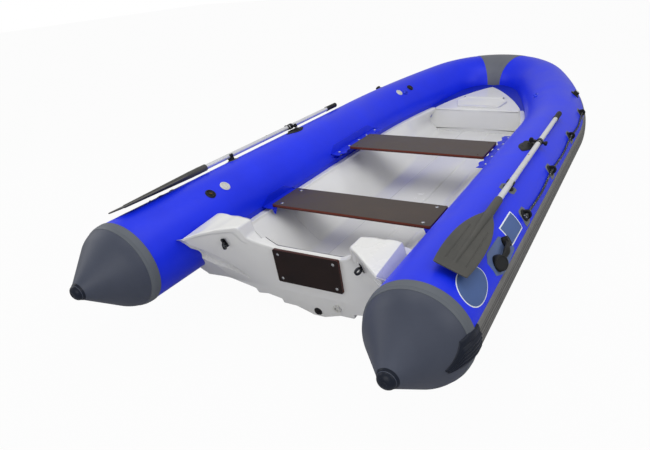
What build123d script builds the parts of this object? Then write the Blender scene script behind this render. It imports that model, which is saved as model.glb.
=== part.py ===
from build123d import *
import math
import os

# A 4.6 m rigid inflatable tender: a moulded glass-fibre V hull bonded to a
# horseshoe buoyancy tube with two tail cones.
# +X is starboard, +Y is the bow, +Z is up. The origin is on the centreline,
# amidships, in the plane of the light waterline. Lengths are in millimetres.
# Stations are measured forward from the tips of the tail cones, and heights
# from the axis of the straight tubes, unless a name says otherwise.

# ---- driving dimensions ----
overall_length = 4600.0
tube_radius = 221.0            # straight part of each buoyancy tube
tube_spread = 790.0            # centreline of the boat to the axis of a tube
bow_radius = 234.0             # tube radius at the nose
bow_rise = 92.0                # nose of the tube above the straight tubes
quarter_radius = 3250.0        # slow bend that starts the bow, in plan
quarter_turn = 25.0            # degrees turned by that slow bend
patch_turn = 66.0              # turn at which the bow patch begins
slow_steps = 6                 # sections round the slow bend, the quick one and the patch
quick_steps = 6
nose_steps = 3
axis_above_water = 310.0       # tube axis above the light waterline
cone_length = 309.0
shoulder_steps = 5
cone_slope = 50.0              # degrees between the straight of the cone and its base
cone_cap_length = 26.0
cone_cap_radius = 38.0
skin_gap = 0.4                 # glue line between the tube and what is bonded to it

seat_clear_bow = 4.0           # extra room where chords follow the bends
chine_lip = 7.0
flange_width = 40.0
keel_depth = 430.0             # keel below the tube axis at the stern
keel_end_depth = 150.0         # where the stem meets the nose
keel_rise_station = 2500.0
chine_depth = 298.0
chine_rise_station = 2300.0
transom_front = 765.0          # station of the transom's inner face
sheer_depth = 40.0             # hull flange below the tube axis
floor_depth = 250.0
floor_half_width = 260.0
bulkhead_station = 3560.0
deck_slope = 9.3               # degrees by which the foredeck climbs to the bow
deck_depth_aft = 16.0          # foredeck edge at the bulkhead, below the tube axis

transom_aft = 743.0            # aft face at the fold, and its slopes from there
fold_depth = 290.0
fold_sweep = 0.169
board_rake = 25.0
ear_sweep = 252.0
wing_panels = 5                # flat panels across each swept wing of the transom
ear_half_width = 540.0
notch_half_width = 197.0
ear_recess = ((540.0, 66.0), (557.0, -48.0), (410.0, -262.0))   # corners of the hollow in each ear
recess_depth = 14.0
box_height = 120.0
deck_side_gap = 6.0
board_half_width = 196.0       # motor pad on the transom
board_height = 198.0
board_top_depth = 26.0
board_thickness = 15.0

bench_thickness = 18.0
aft_bench_station = 1142.0
aft_bench_width = 269.0
aft_bench_half_length = 506.0
aft_bench_height = 6.0
fore_bench_station = 2100.0
fore_bench_width = 325.0
fore_bench_half_length = 500.0
fore_bench_height = 62.0

bench_bolt_x = 453.0
bench_bolt_edge = 32.0
bench_bolt_radius = 5.0
flap_thickness = 5.0
board_bolt_x = 165.0
board_bolt_edge = 26.0
board_bolt_radius = 4.5

shaft_radius = 15.0
oar_offset = 90.0              # oar axis outboard of the tube axis
oar_height = 236.0             # oar axis above the tube axis
blade_tip_station = 440.0
blade_neck_station = 1050.0
grip_start_station = 2436.0
grip_end_station = 2580.0
oarlock_station = 1935.0
oarlock_lean = 10.0            # degrees the oarlock pin leans outboard
clip_station = 1270.0

locker_half_width = 165.0
locker_aft_station = 3625.0
locker_front_station = 3800.0
locker_floor_depth = 190.0
lid_aft_station = 3604.0
lid_length = 222.0
lid_aft_half = 190.0
lid_wide_half = 240.0
lid_front_half = 178.0
lid_thickness = 14.0
lid_rim = 22.0                 # raised border round the lid's panel
lid_hollow = 3.0
lid_lift = 0.5
hinge_pin_radius = 3.0
hinge_clearance = 0.1

strake_low = -10.0             # degrees below and above the widest line of the tube
strake_high = 20.0
strake_gap = 1.0
strake_thickness = 9.0
strake_tip_station = 170.0     # the strake runs out to a point over the cone
strake_tip_angle = 4.0

blade_half_width = 80.0
blade_thickness = 9.0
groove_offset = 43.0           # two long grooves in each face of a blade
groove_station = 640.0
groove_length = 260.0
groove_spread = 26.0
groove_width = 6.0
groove_depth = 2.5
socket_radius = 20.0
lock_foot_radius = 26.0
lock_foot_height = 12.0
lock_hub_radius = 13.0
lock_hub_height = 18.0
lock_pin_radius = 5.0
lock_clearance = 0.1
ring_radius = 20.0
ring_width = 24.0
arm_thickness = 12.0
clip_foot_radius = 27.0
clip_width = 26.0
clip_wall = 5.0

handle_station = 750.0
handle_span = 110.0
handle_angle = 36.0
handle_foot = 22.0
handle_rise = 38.0
line_eye_stations = (1168.0, 1793.0, 2453.0, 3010.0)
line_eye_angle = 33.0
line_eye_foot = 30.0
bend_sink = -1.0               # a flat foot on the outside of the bend sits this much in
valve_lift = 2.2
valve_angle = 126.0
valve_radius = 27.0
valve_dark_stations = (834.0, 3441.0)
valve_light_stations = (954.0, 3270.0)
drain_radius = 13.0
stern_eye_x = 396.0
stern_eye_height = 36.0
eye_bore = 11.0
bow_eye_station = 4210.0
eye_rod = 4.5

# ---- places worked out from them ----
half_length = overall_length / 2
nose_station = overall_length - bow_radius
turn_q = math.radians(quarter_turn)
quarter_shift = quarter_radius * (1 - math.cos(turn_q))
nose_radius = (tube_spread - quarter_shift) / math.cos(turn_q)
bend_length = quarter_radius * math.sin(turn_q) + nose_radius * (1 - math.sin(turn_q))
straight_end = nose_station - bend_length


def at(x, station, height):
    """A point given by its station and its height above the tube axis."""
    return Vector(x, station - half_length, height + axis_above_water)


def frame_plane(station):
    """Athwartships plane whose local x, y are X and the height above the tube axis."""
    return Plane(origin=at(0, station, 0), x_dir=(1, 0, 0), z_dir=(0, -1, 0))


def level_plane(height):
    """Horizontal plane with local x, y equal to X and the station."""
    return Plane(origin=at(0, 0, height), x_dir=(1, 0, 0), z_dir=(0, 0, 1))


def side_plane(x):
    """Fore-and-aft plane at x, with local x, y equal to the station and the height."""
    return Plane(origin=at(x, 0, 0), x_dir=(0, 1, 0), z_dir=(1, 0, 0))


def bow_place(turn, side=1):
    """Centre, tangent and radius of the bow tube after `turn` degrees of bend."""
    t = math.radians(turn)
    if turn <= quarter_turn:
        x = tube_spread - quarter_radius * (1 - math.cos(t))
        y = straight_end + quarter_radius * math.sin(t)
    else:
        x = nose_radius * math.cos(t)
        y = nose_station - nose_radius * (1 - math.sin(t))
    run = (y - straight_end) / bend_length
    climb = 2 * bow_rise * run / bend_length * math.cos(t)
    centre = at(side * x, y, bow_rise * run ** 2)
    tangent = Vector(-side * math.sin(t), math.cos(t), climb).normalized()
    return centre, tangent, tube_radius + (bow_radius - tube_radius) * run


def bend_turns(first, last):
    """Turns at which the bend is sectioned, closer together where it is tighter."""
    slow = [quarter_turn * i / slow_steps for i in range(slow_steps)]
    quick = [quarter_turn + (patch_turn - quarter_turn) * i / quick_steps for i in range(quick_steps + 1)]
    nose = [patch_turn + (90 - patch_turn) * i / nose_steps for i in range(1, nose_steps + 1)]
    return [turn for turn in slow + quick + nose if first <= turn <= last]


def tube_sections(side, first_station, last_turn):
    """Centre, tangent and radius of the tube's sections from the stern to a turn."""
    start = (at(side * tube_spread, first_station, 0), Vector(0, 1, 0), tube_radius)
    return [start] + [bow_place(turn, side) for turn in bend_turns(0, last_turn)]


def section_plane(centre, tangent):
    """Plane square to the tube, its local x level and pointing to starboard of travel."""
    level = Vector(tangent.Y, -tangent.X, 0).normalized()
    return Plane(origin=centre, x_dir=level, z_dir=tangent)


def panelled(sections):
    """A solid of flat triangular panels between matching outlines, closed at both ends."""
    panels = [Face(Wire.make_polygon(sections[0], close=True)), Face(Wire.make_polygon(sections[-1], close=True))]
    for aft, fore in zip(sections, sections[1:]):
        for i in range(len(aft)):
            j = (i + 1) % len(aft)
            if (aft[i] - fore[j]).length <= (aft[j] - fore[i]).length:
                halves = ([aft[i], aft[j], fore[j]], [aft[i], fore[j], fore[i]])
            else:
                halves = ([aft[i], aft[j], fore[i]], [aft[j], fore[j], fore[i]])
            panels += [Face(Wire.make_polygon(half, close=True)) for half in halves]
    return Solid(Shell(panels))


def save(part, name):
    part.label = name
    export_step(part, f"parts/{name}.step")


os.makedirs("parts", exist_ok=True)
sides = (("port", -1), ("starboard", 1))

# ---- buoyancy tubes ----
for side_name, side in sides:
    with BuildPart() as tube:
        for centre, tangent, radius in tube_sections(side, cone_length + 0.3, patch_turn):
            with BuildSketch(section_plane(centre, tangent)):
                Circle(radius)
        loft(ruled=True)
    save(tube.part, f"tube_{side_name}")

# ---- bow patch: the joined nose of the horseshoe ----
with BuildPart() as bow_patch:
    turns = [patch_turn + 0.04] + bend_turns(patch_turn + 1, 90)
    for turn in turns:
        with BuildSketch(section_plane(*bow_place(turn, 1)[:2])):
            Circle(bow_place(turn, 1)[2])
    for turn in reversed(turns[:-1]):
        centre, tangent, radius = bow_place(turn, -1)
        with BuildSketch(section_plane(centre, tangent * -1)):
            Circle(radius)
    loft(ruled=True)
save(bow_patch.part, "bow_patch")

# ---- tail cones and their caps ----
# Each cone runs straight from its cap, then rounds over to meet the tube in line.
run_in, rise_in = math.cos(math.radians(cone_slope)), math.sin(math.radians(cone_slope))
cone_run, cone_rise = tube_radius - cone_cap_radius, cone_length - cone_cap_length
fan = run_in ** 2 - rise_in * (1 - rise_in)
shoulder_radius = (run_in * cone_rise - rise_in * cone_run) / fan
shoulder_points = []
for i in range(shoulder_steps + 1):
    swing = math.radians(cone_slope + (90 - cone_slope) * i / shoulder_steps)
    shoulder_points.append((tube_radius - shoulder_radius * (1 - math.sin(swing)),
                            cone_length - shoulder_radius * math.cos(swing)))
for side_name, side in sides:
    axis = Axis(at(side * tube_spread, 0, 0), (0, 1, 0))
    plan = Plane(origin=at(side * tube_spread, 0, 0), x_dir=(1, 0, 0), z_dir=(0, 0, 1))
    with BuildPart() as cone:
        with BuildSketch(plan):
            with BuildLine():
                Line((0, cone_cap_length), (cone_cap_radius, cone_cap_length))
                Polyline((cone_cap_radius, cone_cap_length), *shoulder_points)
                Polyline((tube_radius, cone_length), (0, cone_length), (0, cone_cap_length))
            make_face()
        revolve(axis=axis)
    save(cone.part, f"tail_cone_{side_name}")
    with BuildPart() as cap:
        with BuildSketch(plan):
            with BuildLine():
                Line((0, 0), (0.4 * cone_cap_radius, 0))
                Polyline((0.4 * cone_cap_radius, 0), (0.72 * cone_cap_radius, 0.16 * cone_cap_length),
                         (0.9 * cone_cap_radius, 0.42 * cone_cap_length), (cone_cap_radius, cone_cap_length - 0.3))
                Polyline((cone_cap_radius, cone_cap_length - 0.3), (0, cone_cap_length - 0.3), (0, 0))
            make_face()
        revolve(axis=axis)
    save(cap.part, f"cone_cap_{side_name}")

# ---- shape of the glass-fibre bottom ----
# Half breadth of each knuckle as a share of the chine's, and its height as a share
# of the rise from keel to chine. Two lapped strakes step down on each side.
knuckles = (
    (0.00, 0.00), (0.05, 0.00), (0.19, 0.28), (0.305, 0.29), (0.31, 0.50),
    (0.43, 0.63), (0.525, 0.55), (0.54, 0.79), (0.79, 1.10), (1.00, 1.00),
)
seat_start = 103.0             # degrees round the tube from outboard, under its belly
seat_steps = 5
crown_half_width = 12.0        # where the two seats meet under the nose


def keel_height(station):
    """Level keel aft, sweeping up to the nose as a power curve."""
    share = max(0.0, station - keel_rise_station) / (nose_station - 40 - keel_rise_station)
    return -keel_depth + (keel_depth - keel_end_depth) * share ** 2.6


def chine_height(station):
    share = max(0.0, station - chine_rise_station) / (nose_station - chine_rise_station)
    return -chine_depth + (chine_depth - 20) * share ** 1.5


def axis_height(station):
    """Height of the tube's axis, which climbs to the nose as a parabola."""
    return bow_rise * (max(0.0, station - straight_end) / bend_length) ** 2


def radius_at(station):
    run = max(0.0, station - straight_end) / bend_length
    return tube_radius + (bow_radius - tube_radius) * run


def inboard_line(station, reach):
    """Half breadth of a line `reach` inboard of the tube's axis, and the axis station abreast of it."""
    run = station - straight_end
    if run <= 0:
        return tube_spread - reach, station
    inside = quarter_radius - reach
    if run <= inside * math.sin(turn_q):
        breadth = tube_spread - quarter_radius + math.sqrt(inside ** 2 - run ** 2)
        return breadth, straight_end + quarter_radius * run / inside
    inside = nose_radius - reach
    ahead = min(inside, station - nose_station + nose_radius)
    return math.sqrt(inside ** 2 - ahead ** 2), nose_station - nose_radius * (1 - ahead / inside)


def skin_at_angle(station, degrees, gap):
    """Half breadth and height of the inboard skin, at an angle round the tube."""
    abreast = station
    for _ in range(6):
        radius = radius_at(abreast) + gap
        breadth, abreast = inboard_line(station, -radius * math.cos(math.radians(degrees)))
    return breadth, axis_height(abreast) - radius * math.sin(math.radians(degrees))


def skin_breadth(station, height, gap):
    """Half breadth just inboard of the tube's skin at a height."""
    abreast = station
    for _ in range(6):
        radius = radius_at(abreast) + gap
        reach = math.sqrt(radius ** 2 - (height - axis_height(abreast)) ** 2)
        breadth, abreast = inboard_line(station, reach)
    return breadth


def angle_where(low, high, test):
    """Bisect for the angle between low and high at which the test turns false."""
    for _ in range(30):
        middle = (low + high) / 2
        low, high = (middle, high) if test(middle) else (low, middle)
    return low


def seat_points(station, top_height):
    """Chords that hug the tube's inboard skin, from its belly up to a height."""
    gap = skin_gap + (0 if station < straight_end else seat_clear_bow)
    last = angle_where(seat_start, 205, lambda a: skin_at_angle(station, a, gap)[1] < top_height)
    last = angle_where(seat_start, last, lambda a: skin_at_angle(station, a, gap)[0] > crown_half_width)
    step = (last - seat_start) / (seat_steps - 1)
    swell = (tube_radius + gap) * (1 / math.cos(math.radians(step / 2)) - 1)
    points = [skin_at_angle(station, seat_start + step * i, gap + swell) for i in range(seat_steps)]
    return [(max(crown_half_width, breadth), height) for breadth, height in points]


def bottom_points(station, top_height):
    """Starboard half of a hull section: keel, strakes, chine and the tube's seat."""
    seat = seat_points(station, top_height)
    half = seat[0][0] - chine_lip
    chine = min(chine_height(station), seat[0][1] - 2 * chine_lip)
    keel = min(keel_height(station), chine - chine_lip)
    points = [(share * half, keel + level * (chine - keel)) for share, level in knuckles]
    return points + [(half + chine_lip, chine + 0.45 * (seat[0][1] - chine))] + seat


def mirrored(right):
    """A closed outline: the starboard points, then the same ones to port."""
    return right + [(-x, z) for x, z in reversed(right) if x > 0]


def deck_height(station):
    """Height of the foredeck's top, sloping up to the bow."""
    return -deck_depth_aft + (station - bulkhead_station) * math.tan(math.radians(deck_slope))


# ---- hull: bottom, stem, tube seats and the cockpit well ----
deck_thickness = 14.0
well_stations = (transom_front + 0.3, 2300.0, straight_end - 1, straight_end + 1, 2900.0, 3150.0, 3360.0, bulkhead_station)
stem_stations = (bulkhead_station, 3700.0, 3850.0, 3965.0, 4040.0, 4090.0, 4120.0, 4142.0, 4160.0, 4190.0, 4230.0, 4280.0)


def well_section(station):
    """Hull section through the cockpit, open to the floor."""
    right = bottom_points(station, axis_height(station) - sheer_depth)
    rim_x, rim_z = right[-1]
    narrowing = 1 - 0.2 * max(0.0, station - 2300.0) / (bulkhead_station - 2300.0)
    return right + [(rim_x - flange_width, rim_z), (floor_half_width * narrowing, -floor_depth)]


def stem_section(station):
    """Hull section under the foredeck, closed below the panel."""
    right = bottom_points(station, deck_height(station) - deck_thickness - 0.3)
    rim_x, rim_z = right[-1]
    return right + [(0.8 * rim_x, rim_z), (0.5 * rim_x, rim_z)]


with BuildPart() as hull:
    for stations, section in ((well_stations, well_section), (stem_stations, stem_section)):
        add(panelled([[at(x, station, z) for x, z in mirrored(section(station))] for station in stations]))
    with BuildSketch(level_plane(200)):
        with Locations((0, (locker_aft_station + locker_front_station) / 2)):
            RectangleRounded(2 * locker_half_width, locker_front_station - locker_aft_station, 25)
    extrude(amount=-200 - locker_floor_depth, mode=Mode.SUBTRACT)
save(hull.part, "hull")


# ---- foredeck: a moulded panel with the locker opening ----
with BuildPart() as foredeck:
    outlines = []
    for station in (bulkhead_station + 0.3, 3700.0, 3850.0, 3965.0, 4030.0, 4080.0, 4110.0):
        top = deck_height(station)
        bottom = top - deck_thickness
        upper = skin_breadth(station, top, deck_side_gap)
        lower = skin_breadth(station, bottom, deck_side_gap)
        outlines.append([at(-upper, station, top), at(upper, station, top),
                         at(lower, station, bottom), at(-lower, station, bottom)])
    add(panelled(outlines))
    with BuildSketch(level_plane(200)):
        with Locations((0, (locker_aft_station + locker_front_station) / 2)):
            RectangleRounded(2 * locker_half_width, locker_front_station - locker_aft_station, 25)
    extrude(amount=-300, mode=Mode.SUBTRACT)
save(foredeck.part, "foredeck")

# ---- transom: swept-back moulding with the motor notch and two corner boxes ----
def transom_aft_station(x, height):
    """Aft face: upright amidships, sweeping aft toward the ears as it rises."""
    if height < -fold_depth:
        return transom_aft + fold_sweep * (-fold_depth - height)
    rise = (height + fold_depth) / (fold_depth + 100.0)
    sweep = min(1.0, max(0.0, (abs(x) - notch_half_width) / (ear_half_width - notch_half_width)))
    return transom_aft - board_rake * rise - ear_sweep * rise * sweep


def bed_on_tube(side):
    """Hollow what is being built so that it beds on the straight tube."""
    with Locations(Location(at(side * tube_spread, 1500, 0), (90, 0, 0))):
        Cylinder(tube_radius + skin_gap, 3000, mode=Mode.SUBTRACT)


transom_crown = box_height + 10
with BuildPart() as transom:
    slabs = []
    wing = [notch_half_width + (ear_half_width - notch_half_width) * i / wing_panels for i in range(wing_panels + 1)]
    for x in [-760.0] + [-x for x in reversed(wing)] + wing + [760.0]:
        slabs.append([at(x, transom_aft_station(x, transom_crown), transom_crown), at(x, transom_aft, -fold_depth),
                      at(x, transom_aft_station(0, -470), -470), at(x, transom_front + 20, -470),
                      at(x, transom_front + 20, transom_crown)])
    add(panelled(slabs))
    outline = bottom_points(transom_front, -sheer_depth)[:12]
    outline += [(640, -50), (590, 72), (ear_half_width, 100), (520, box_height), (400, box_height + 5),
                (320, box_height), (312, 55), (283, 24), (255, 3), (notch_half_width, -board_top_depth)]
    with BuildSketch(frame_plane(transom_front)):
        with BuildLine():
            Polyline(mirrored(outline), close=True)
        make_face()
    extrude(amount=450, mode=Mode.INTERSECT)
    for side in (-1, 1):
        corners = [at(side * x, transom_aft_station(x, height), height) for x, height in ear_recess]
        aft = (corners[1] - corners[0]).cross(corners[2] - corners[0]).normalized()
        aft = aft if aft.Y < 0 else aft * -1
        floor = Plane(origin=corners[0] - aft * recess_depth, x_dir=(corners[2] - corners[0]).normalized(), z_dir=aft)
        with BuildSketch(floor):
            with BuildLine():
                Polyline(*[floor.to_local_coords(corner - aft * recess_depth) for corner in corners], close=True)
            make_face()
        extrude(amount=60, mode=Mode.SUBTRACT)
        bed_on_tube(side)
save(transom.part, "transom")


# ---- transom board, a pad for the motor's clamps ----
board_tilt = math.atan2(board_rake, fold_depth + 100.0)
board_face = transom_aft_station(0, -board_top_depth) - board_thickness - 0.3
board_plane = Plane(origin=at(0, board_face, -board_top_depth), x_dir=(1, 0, 0),
                    z_dir=(0, -math.cos(board_tilt), -math.sin(board_tilt)))
with BuildPart() as transom_board:
    with BuildSketch(board_plane):
        with Locations((0, -board_height / 2)):
            RectangleRounded(2 * board_half_width, board_height, 8)
    extrude(amount=-board_thickness)
    with BuildSketch(board_plane):
        with Locations((0, -board_height / 2)):
            with GridLocations(2 * board_bolt_x, board_height - 2 * board_bolt_edge, 2, 2):
                Circle(board_bolt_radius)
    extrude(amount=-board_thickness, mode=Mode.SUBTRACT)
save(transom_board.part, "transom_board")

# ---- benches and the fabric flaps that hang them from the tubes ----
benches = (
    ("bench_aft", aft_bench_station, aft_bench_width, aft_bench_half_length, aft_bench_height),
    ("bench_forward", fore_bench_station, fore_bench_width, fore_bench_half_length, fore_bench_height),
)
for name, station, width, half, height in benches:
    with BuildPart() as bench:
        with BuildSketch(level_plane(height)):
            with Locations((0, station + width / 2)):
                RectangleRounded(2 * half, width, 6)
                with GridLocations(2 * bench_bolt_x, width - 2 * bench_bolt_edge, 2, 2):
                    Circle(bench_bolt_radius, mode=Mode.SUBTRACT)
        extrude(amount=-bench_thickness)
    save(bench.part, name)
    with BuildPart() as flaps:
        for side in (-1, 1):
            with BuildSketch(level_plane(height - bench_thickness - 0.3)):
                with Locations((side * (half + 20), station + width / 2)):
                    Rectangle(200, width + 20)
            extrude(amount=-flap_thickness)
            with BuildSketch(frame_plane(station - 10)):
                web_low = max(height - bench_thickness - 55, 4 - sheer_depth)
                with Locations((side * (half + 75), (web_low + height - bench_thickness) / 2)):
                    Rectangle(50, height - bench_thickness - web_low)
            extrude(amount=-(width + 20))
            with Locations(at(side * (half + 100), station + width / 2, height + 60)):
                Box(200, width + 60, 2 * 60 + bench_thickness + 0.6, mode=Mode.SUBTRACT)
            bed_on_tube(side)
        with BuildSketch(level_plane(height)):
            with Locations((0, station + width / 2)):
                with GridLocations(2 * bench_bolt_x, width - 2 * bench_bolt_edge, 2, 2):
                    Circle(bench_bolt_radius)
        extrude(amount=-60, mode=Mode.SUBTRACT)
    save(flaps.part, f"{name}_flaps")

# ---- bow locker lid, hinged on two pins at its forward end ----
deck_tilt = math.radians(deck_slope)
deck_up = Vector(0, -math.sin(deck_tilt), math.cos(deck_tilt))
lid_origin = at(0, lid_aft_station, deck_height(lid_aft_station))
lid_plane = Plane(origin=lid_origin + deck_up * lid_lift, x_dir=(1, 0, 0), z_dir=deck_up)
lid_roll = lid_thickness / 2   # the forward edge is a roll about the hinge axis
hinge_run = lid_length - lid_roll
hinge_plane = Plane(origin=lid_plane.from_local_coords(Vector(0, hinge_run, lid_roll)),
                    x_dir=lid_plane.y_dir, z_dir=(1, 0, 0))
with BuildPart() as lid:
    with BuildSketch(lid_plane):
        with BuildLine():
            Polyline(mirrored([(lid_aft_half, 0), (lid_wide_half, 0.62 * lid_length), (lid_front_half, 0.88 * lid_length),
                               (lid_front_half, hinge_run)]), close=True)
        make_face()
    extrude(amount=lid_thickness)
    with BuildSketch(hinge_plane.offset(-lid_front_half)):
        Circle(lid_roll)
    extrude(amount=2 * lid_front_half)
    for side in (-1, 1):
        with BuildSketch(hinge_plane.offset(side * lid_front_half)):
            Circle(hinge_pin_radius + hinge_clearance)
        extrude(amount=-side * 30, mode=Mode.SUBTRACT)
    with BuildSketch(lid_plane.offset(lid_thickness - lid_hollow)):
        with BuildLine():
            Polyline(mirrored([(lid_aft_half - lid_rim, lid_rim), (lid_wide_half - lid_rim - 5, 0.62 * lid_length),
                               (lid_front_half - lid_rim + 3, 0.88 * lid_length - 8)]), close=True)
        make_face()
    extrude(amount=10, mode=Mode.SUBTRACT)
save(lid.part, "bow_locker_lid")

with BuildPart() as hinges:
    for side in (-1, 1):
        with BuildSketch(hinge_plane.offset(side * (lid_front_half + 3))):
            with Locations((0, -lid_roll / 2)):
                Rectangle(14, 3 * lid_roll + 2 * lid_lift - 2)
        extrude(amount=side * 10)
        with BuildSketch(hinge_plane.offset(side * (lid_front_half + 4))):
            Circle(hinge_pin_radius)
        extrude(amount=-side * 28)
    with BuildSketch(Plane(origin=lid_origin + deck_up * 0.3, x_dir=(1, 0, 0), z_dir=deck_up)):
        Rectangle(3000, 3000)
    extrude(amount=-60, mode=Mode.SUBTRACT)
save(hinges.part, "locker_hinges")


# ---- places on the skin of the tubes ----
def tube_place(station, side):
    """Centre, tangent and radius of the tube at a station aft of the nose bend."""
    turn = math.degrees(math.asin(max(0.0, station - straight_end) / quarter_radius))
    if station > straight_end:
        return bow_place(turn, side)
    return at(side * tube_spread, station, 0), Vector(0, 1, 0), tube_radius


def skin_plane(station, side, angle):
    """Plane on the skin, z outward and x forward; 0 degrees is outboard and 90 the top."""
    centre, tangent, radius = tube_place(station, side)
    outboard = Vector(side * tangent.Y, -side * tangent.X, 0).normalized()
    upward = Vector(0, 0, 1) - tangent * tangent.Z
    turn = math.radians(angle)
    outward = (outboard * math.cos(turn) + upward.normalized() * math.sin(turn)).normalized()
    return Plane(origin=centre + outward * radius, x_dir=tangent, z_dir=outward)


def collar_face(centre, tangent, side, low, high, inner, outer):
    """Annular sector square to the tube, between two angles and two radii."""
    outboard = Vector(side * tangent.Y, -side * tangent.X, 0).normalized()
    plane = Plane(origin=centre, x_dir=outboard, z_dir=tangent * -side)
    with BuildSketch(plane) as sector:
        with BuildLine():
            CenterArc((0, 0), outer, low, high - low)
            CenterArc((0, 0), inner, low, high - low)
            for angle in (low, high):
                turn = math.radians(angle)
                Line((inner * math.cos(turn), inner * math.sin(turn)),
                     (outer * math.cos(turn), outer * math.sin(turn)))
        make_face()
    return sector.sketch.face()


# ---- rub strakes, one down each side to the middle of the nose ----
for side_name, side in sides:
    with BuildPart() as strake:
        places = tube_sections(side, cone_length + 4, 89) + [bow_place(89.97, side)]
        prong = [(radius, station) for radius, station in shoulder_points if station > strake_tip_station]
        prong_faces = []
        for i, (radius, station) in enumerate(prong):
            taper = (i + 0.3) / len(prong)
            prong_faces.append(collar_face(at(side * tube_spread, station, 0), Vector(0, 1, 0), side,
                                           strake_tip_angle + (strake_low - strake_tip_angle) * taper,
                                           strake_tip_angle + (strake_high - strake_tip_angle) * taper,
                                           radius + strake_gap, radius + strake_gap + strake_thickness * (0.4 + 0.6 * taper)))
        loft(prong_faces + [collar_face(places[0][0], places[0][1], side, strake_low, strake_high,
                                        tube_radius + strake_gap, tube_radius + strake_gap + strake_thickness)], ruled=True)
        loft([collar_face(c, t, side, strake_low, strake_high, r + strake_gap, r + strake_gap + strake_thickness)
              for c, t, r in places], ruled=True)
    save(strake.part, f"rub_strake_{side_name}")

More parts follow.
